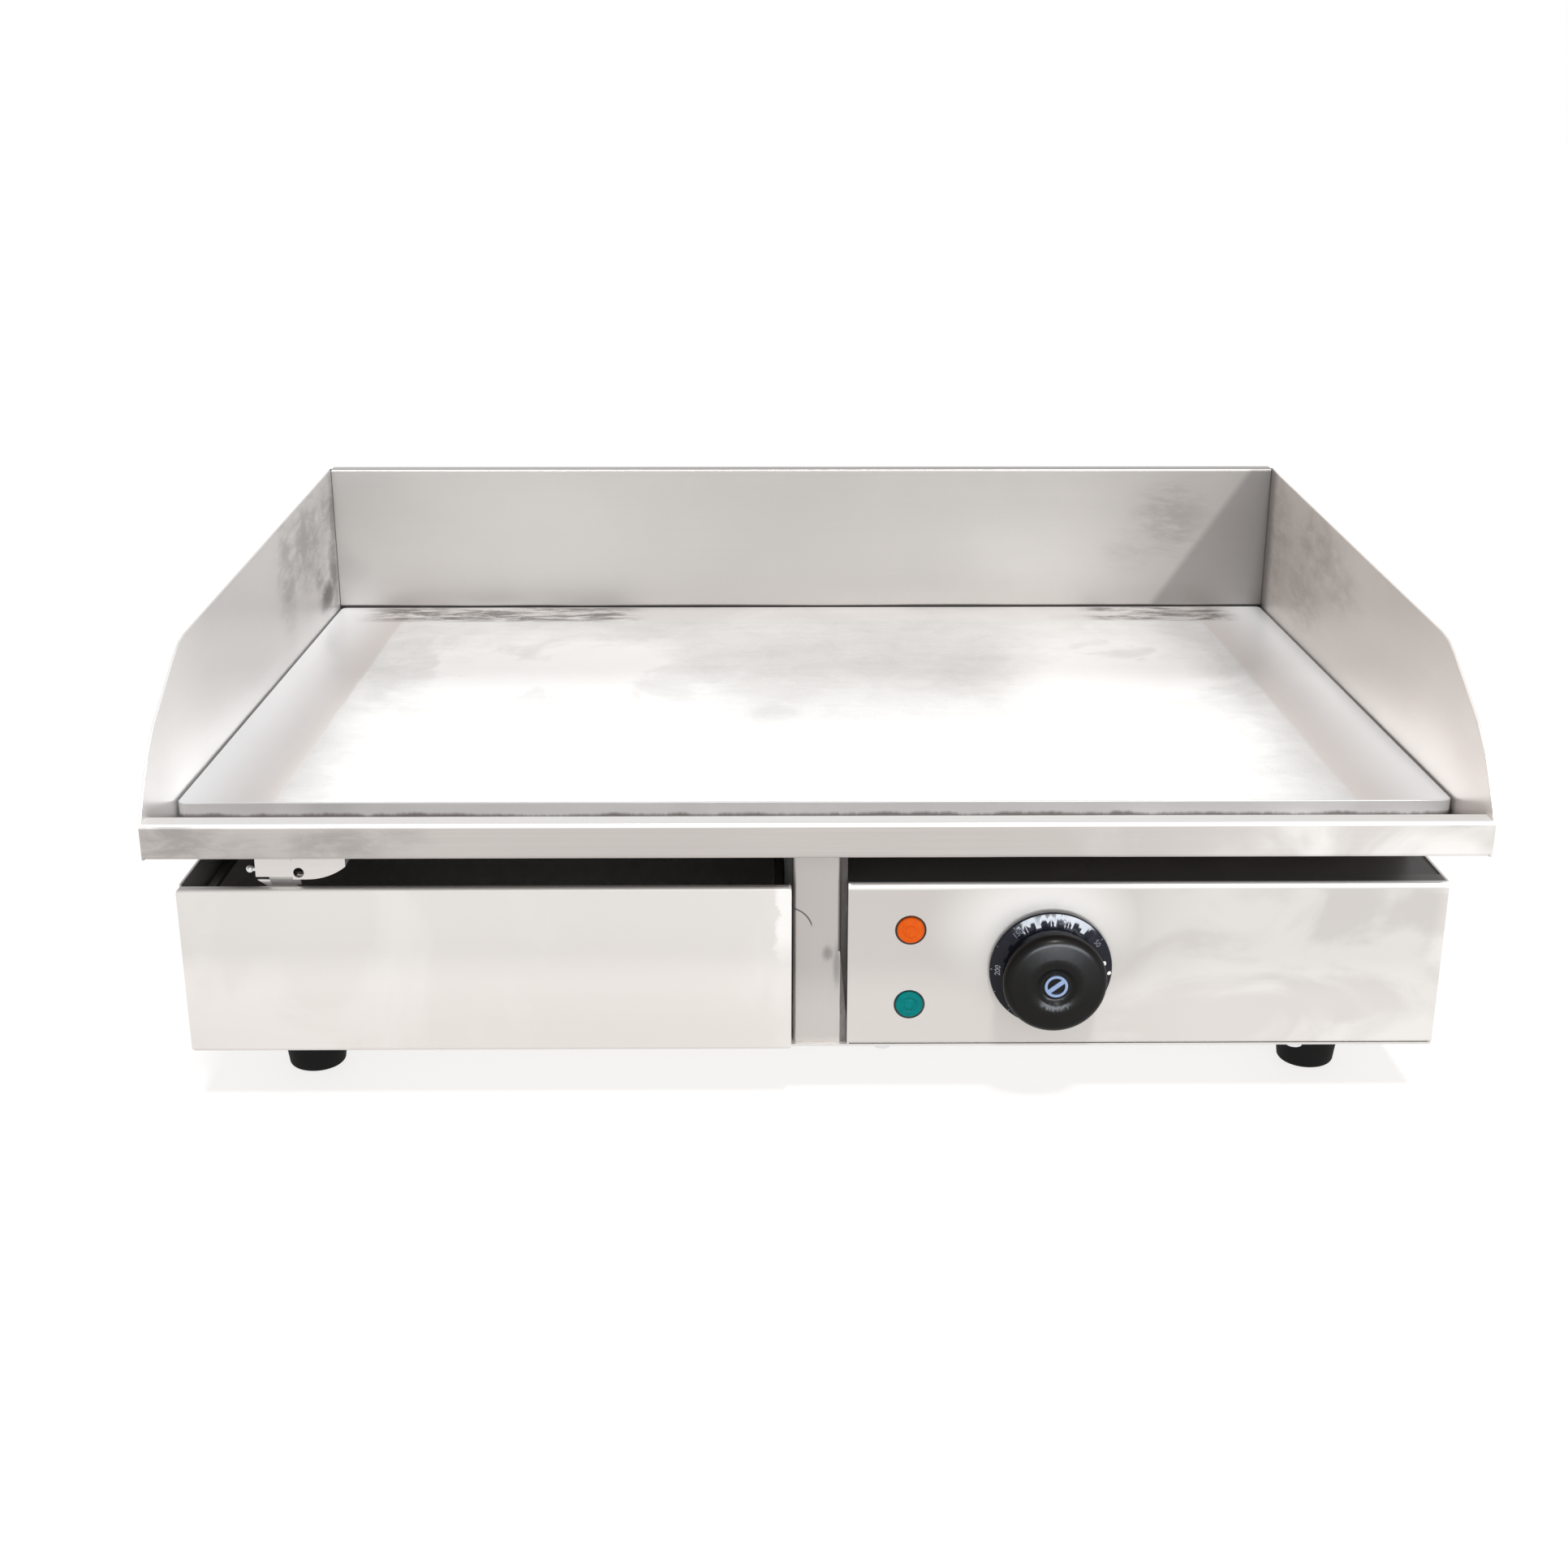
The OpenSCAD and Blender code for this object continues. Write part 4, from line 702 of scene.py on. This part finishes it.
def flat_text(text, height):
    """The outline of a short text as a triangulated flat mesh, centred on its middle."""
    curve = bpy.data.curves.new("outline", "FONT")
    curve.body, curve.size = text, height * 1.4
    curve.align_x, curve.align_y = "CENTER", "CENTER"
    holder = bpy.data.objects.new("outline", curve)
    bpy.context.scene.collection.objects.link(holder)
    bpy.context.view_layer.update()
    evaluated = holder.evaluated_get(bpy.context.evaluated_depsgraph_get())
    mesh = bpy.data.meshes.new_from_object(evaluated)
    bpy.data.objects.remove(holder)
    return mesh


def dial_print():
    """Numbers and ticks, printed on the dial's skirt."""
    bm = bmesh.new()
    reach = (SKIRT_IN + SKIRT_OUT) / 2
    for index, text in enumerate(NUMBERS):
        mesh = flat_text(text, NUMBER_HEIGHT)
        start = len(bm.verts)
        bm.from_mesh(mesh)
        bm.verts.ensure_lookup_table()
        for v in bm.verts[start:]:
            v.co = on_skirt(FIRST_NUMBER + index * NUMBER_STEP - v.co.x / reach,
                            reach + v.co.y)
        bpy.data.meshes.remove(mesh)
    for index in range(2 * len(NUMBERS) - 1):
        angle = FIRST_NUMBER + index * NUMBER_STEP / 2
        half_width, length = LONG_TICK if index % 2 == 0 else SHORT_TICK
        half = half_width / SKIRT_OUT
        inner, outer = SKIRT_OUT - length, SKIRT_OUT - TICK_GAP
        corners = [(angle - half, inner), (angle + half, inner),
                   (angle + half, outer), (angle - half, outer)]
        bm.faces.new([bm.verts.new(on_skirt(a, r)) for a, r in corners])
    print_piece("dial_print", bm, INK_GREY)


def off_mark(sides=24):
    """The white off mark on the skirt, and the smaller one at its rim."""
    bm = bmesh.new()
    for angle, reach, size in ((math.radians(9), 23.0 * MM, 1.2 * MM),
                               (math.radians(-3), 25.6 * MM, 0.9 * MM)):
        rim = []
        for i in range(sides):
            turn = 2 * math.pi * i / sides
            rim.append(bm.verts.new(on_skirt(angle + size * math.sin(turn) / reach,
                                             reach + size * math.cos(turn))))
        bm.faces.new(rim)
    print_piece("off_mark", bm, INK_WHITE)


def print_piece(name, bm, tone):
    """Turns flat shapes on the skirt into a printed piece that turns with the knob."""
    bmesh.ops.recalc_face_normals(bm, faces=bm.faces)
    for face in bm.faces:
        if face.normal.y > 0:
            face.normal_flip()
    mesh = bpy.data.meshes.new(name)
    bm.to_mesh(mesh)
    bm.free()
    piece = bpy.data.objects.new(name, mesh)
    bpy.context.scene.collection.objects.link(piece)
    mesh.materials.append(moulded(name + "_ink", tone, 0.5, 1200.0, 0.00001, 1.1))
    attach(piece, "knob")


dial_print()
off_mark()


# ---------------------------------------------------------------- studio

def studio_floor(radius=30.0, rings=6, sides=96):
    """A wide pale floor, round so that it looks the same from every side."""
    bm = bmesh.new()
    centre = bm.verts.new((0, 0, 0))
    inner = None
    for ring in range(1, rings + 1):
        reach = radius * (ring / rings) ** 2.5
        verts = [bm.verts.new((reach * math.cos(2 * math.pi * i / sides),
                               reach * math.sin(2 * math.pi * i / sides), 0))
                 for i in range(sides)]
        for i in range(sides):
            j = (i + 1) % sides
            bm.faces.new([centre, verts[i], verts[j]] if inner is None
                         else [inner[i], verts[i], verts[j], inner[j]])
        inner = verts
    mesh = bpy.data.meshes.new("studio_floor")
    bm.to_mesh(mesh)
    bm.free()
    floor = bpy.data.objects.new("studio_floor", mesh)
    bpy.context.scene.collection.objects.link(floor)
    f = Finish("pale_floor", Emission_Color=(1, 0.99, 0.98, 1), Emission_Strength=0.80)
    wash = f.noise(1.2, 3.0)
    f.bump(f.noise(400.0, 3.0), 0.00004, 0.3)
    mesh.materials.append(f.done(f.mix(wash, (0.145, 0.144, 0.143), (0.165, 0.164, 0.163)),
                                 f.add(0.6, f.times(wash, 0.2))))


def area_light(name, place, target, size, power, colour=(1, 1, 1)):
    """A rectangular softbox that faces its target."""
    light = bpy.data.lights.new(name, "AREA")
    light.shape, light.size, light.size_y = "RECTANGLE", *size
    light.energy, light.color = power, colour
    holder = bpy.data.objects.new(name, light)
    holder.location = place
    holder.rotation_euler = (Vector(target) - Vector(place)).to_track_quat("-Z", "Y").to_euler()
    bpy.context.scene.collection.objects.link(holder)
    return holder


def reach_only(light, *names):
    """Lets a light reach these nodes and nothing else, with only them in its way."""
    lit = bpy.data.collections.new(light.name + "_lit")
    for name in names:
        lit.objects.link(nodes[name])
    light.light_linking.receiver_collection = lit
    light.light_linking.blocker_collection = lit


def key_light(direction, strength, spread):
    """The one directional light; direction points from the object towards it."""
    light = bpy.data.lights.new("key", "SUN")
    light.energy, light.angle, light.color = strength, spread, (1.0, 0.985, 0.965)
    holder = bpy.data.objects.new("key", light)
    holder.rotation_euler = Vector(direction).to_track_quat("Z", "Y").to_euler()
    bpy.context.scene.collection.objects.link(holder)


def white_room(strength):
    """A white world, brightest at the horizon and about half as bright overhead."""
    world = bpy.data.worlds.new("white_room")
    world.use_nodes = True
    bpy.context.scene.world = world
    tree = world.node_tree
    coords = tree.nodes.new("ShaderNodeTexCoord")
    split = tree.nodes.new("ShaderNodeSeparateXYZ")
    ramp = tree.nodes.new("ShaderNodeValToRGB")
    tree.links.new(coords.outputs["Generated"], split.inputs[0])
    tree.links.new(split.outputs["Z"], ramp.inputs[0])
    tree.links.new(ramp.outputs[0], tree.nodes["Background"].inputs["Color"])
    tree.nodes["Background"].inputs["Strength"].default_value = strength
    stops = ramp.color_ramp.elements
    stops[0].position, stops[0].color = 0.0, (1.0, 1.0, 1.0, 1)
    stops[1].position, stops[1].color = 1.0, (0.46, 0.46, 0.48, 1)
    for place, level in ((0.06, 1.0), (0.20, 0.66), (0.5, 0.52)):
        stops.new(place).color = (level, level, level, 1)


CAMERA_PLACE = (-0.0214, -0.9644, 0.4218)
CAMERA_TURN = (71.17, -0.04, -0.53)       # degrees about X, Y and Z
LENS, SENSOR = 45.24, 36.0                # millimetres

studio_floor()
white_room(strength=1.0)
key_light(direction=(0.06, -0.50, 0.86), strength=3.0, spread=math.radians(7))
area_light("softbox", place=(0.45, -1.48, 0.67), target=knob_axis, size=(0.90, 0.34), power=6.5)
knob_softbox = area_light("knob_softbox", place=(0.38, -1.474, 0.499), target=knob_axis,
                          size=(1.6, 0.44), power=130.0, colour=(0.86, 0.92, 1.0))
reach_only(knob_softbox, "knob_dial", "knob_grip")
plate_softbox = area_light("plate_softbox", place=(0, 1.35, 0.62),
                           target=(0, 0, plate_high.z), size=(1.8, 0.5), power=9.0)
reach_only(plate_softbox, "griddle_plate")

camera_data = bpy.data.cameras.new("camera")
camera_data.lens, camera_data.sensor_width = LENS, SENSOR
camera_data.clip_start, camera_data.clip_end = 0.05, 100.0
camera = bpy.data.objects.new("camera", camera_data)
camera.location = CAMERA_PLACE
camera.rotation_euler = Euler([math.radians(a) for a in CAMERA_TURN])
bpy.context.scene.collection.objects.link(camera)
bpy.context.scene.camera = camera
bpy.context.scene.view_settings.view_transform = "Standard"
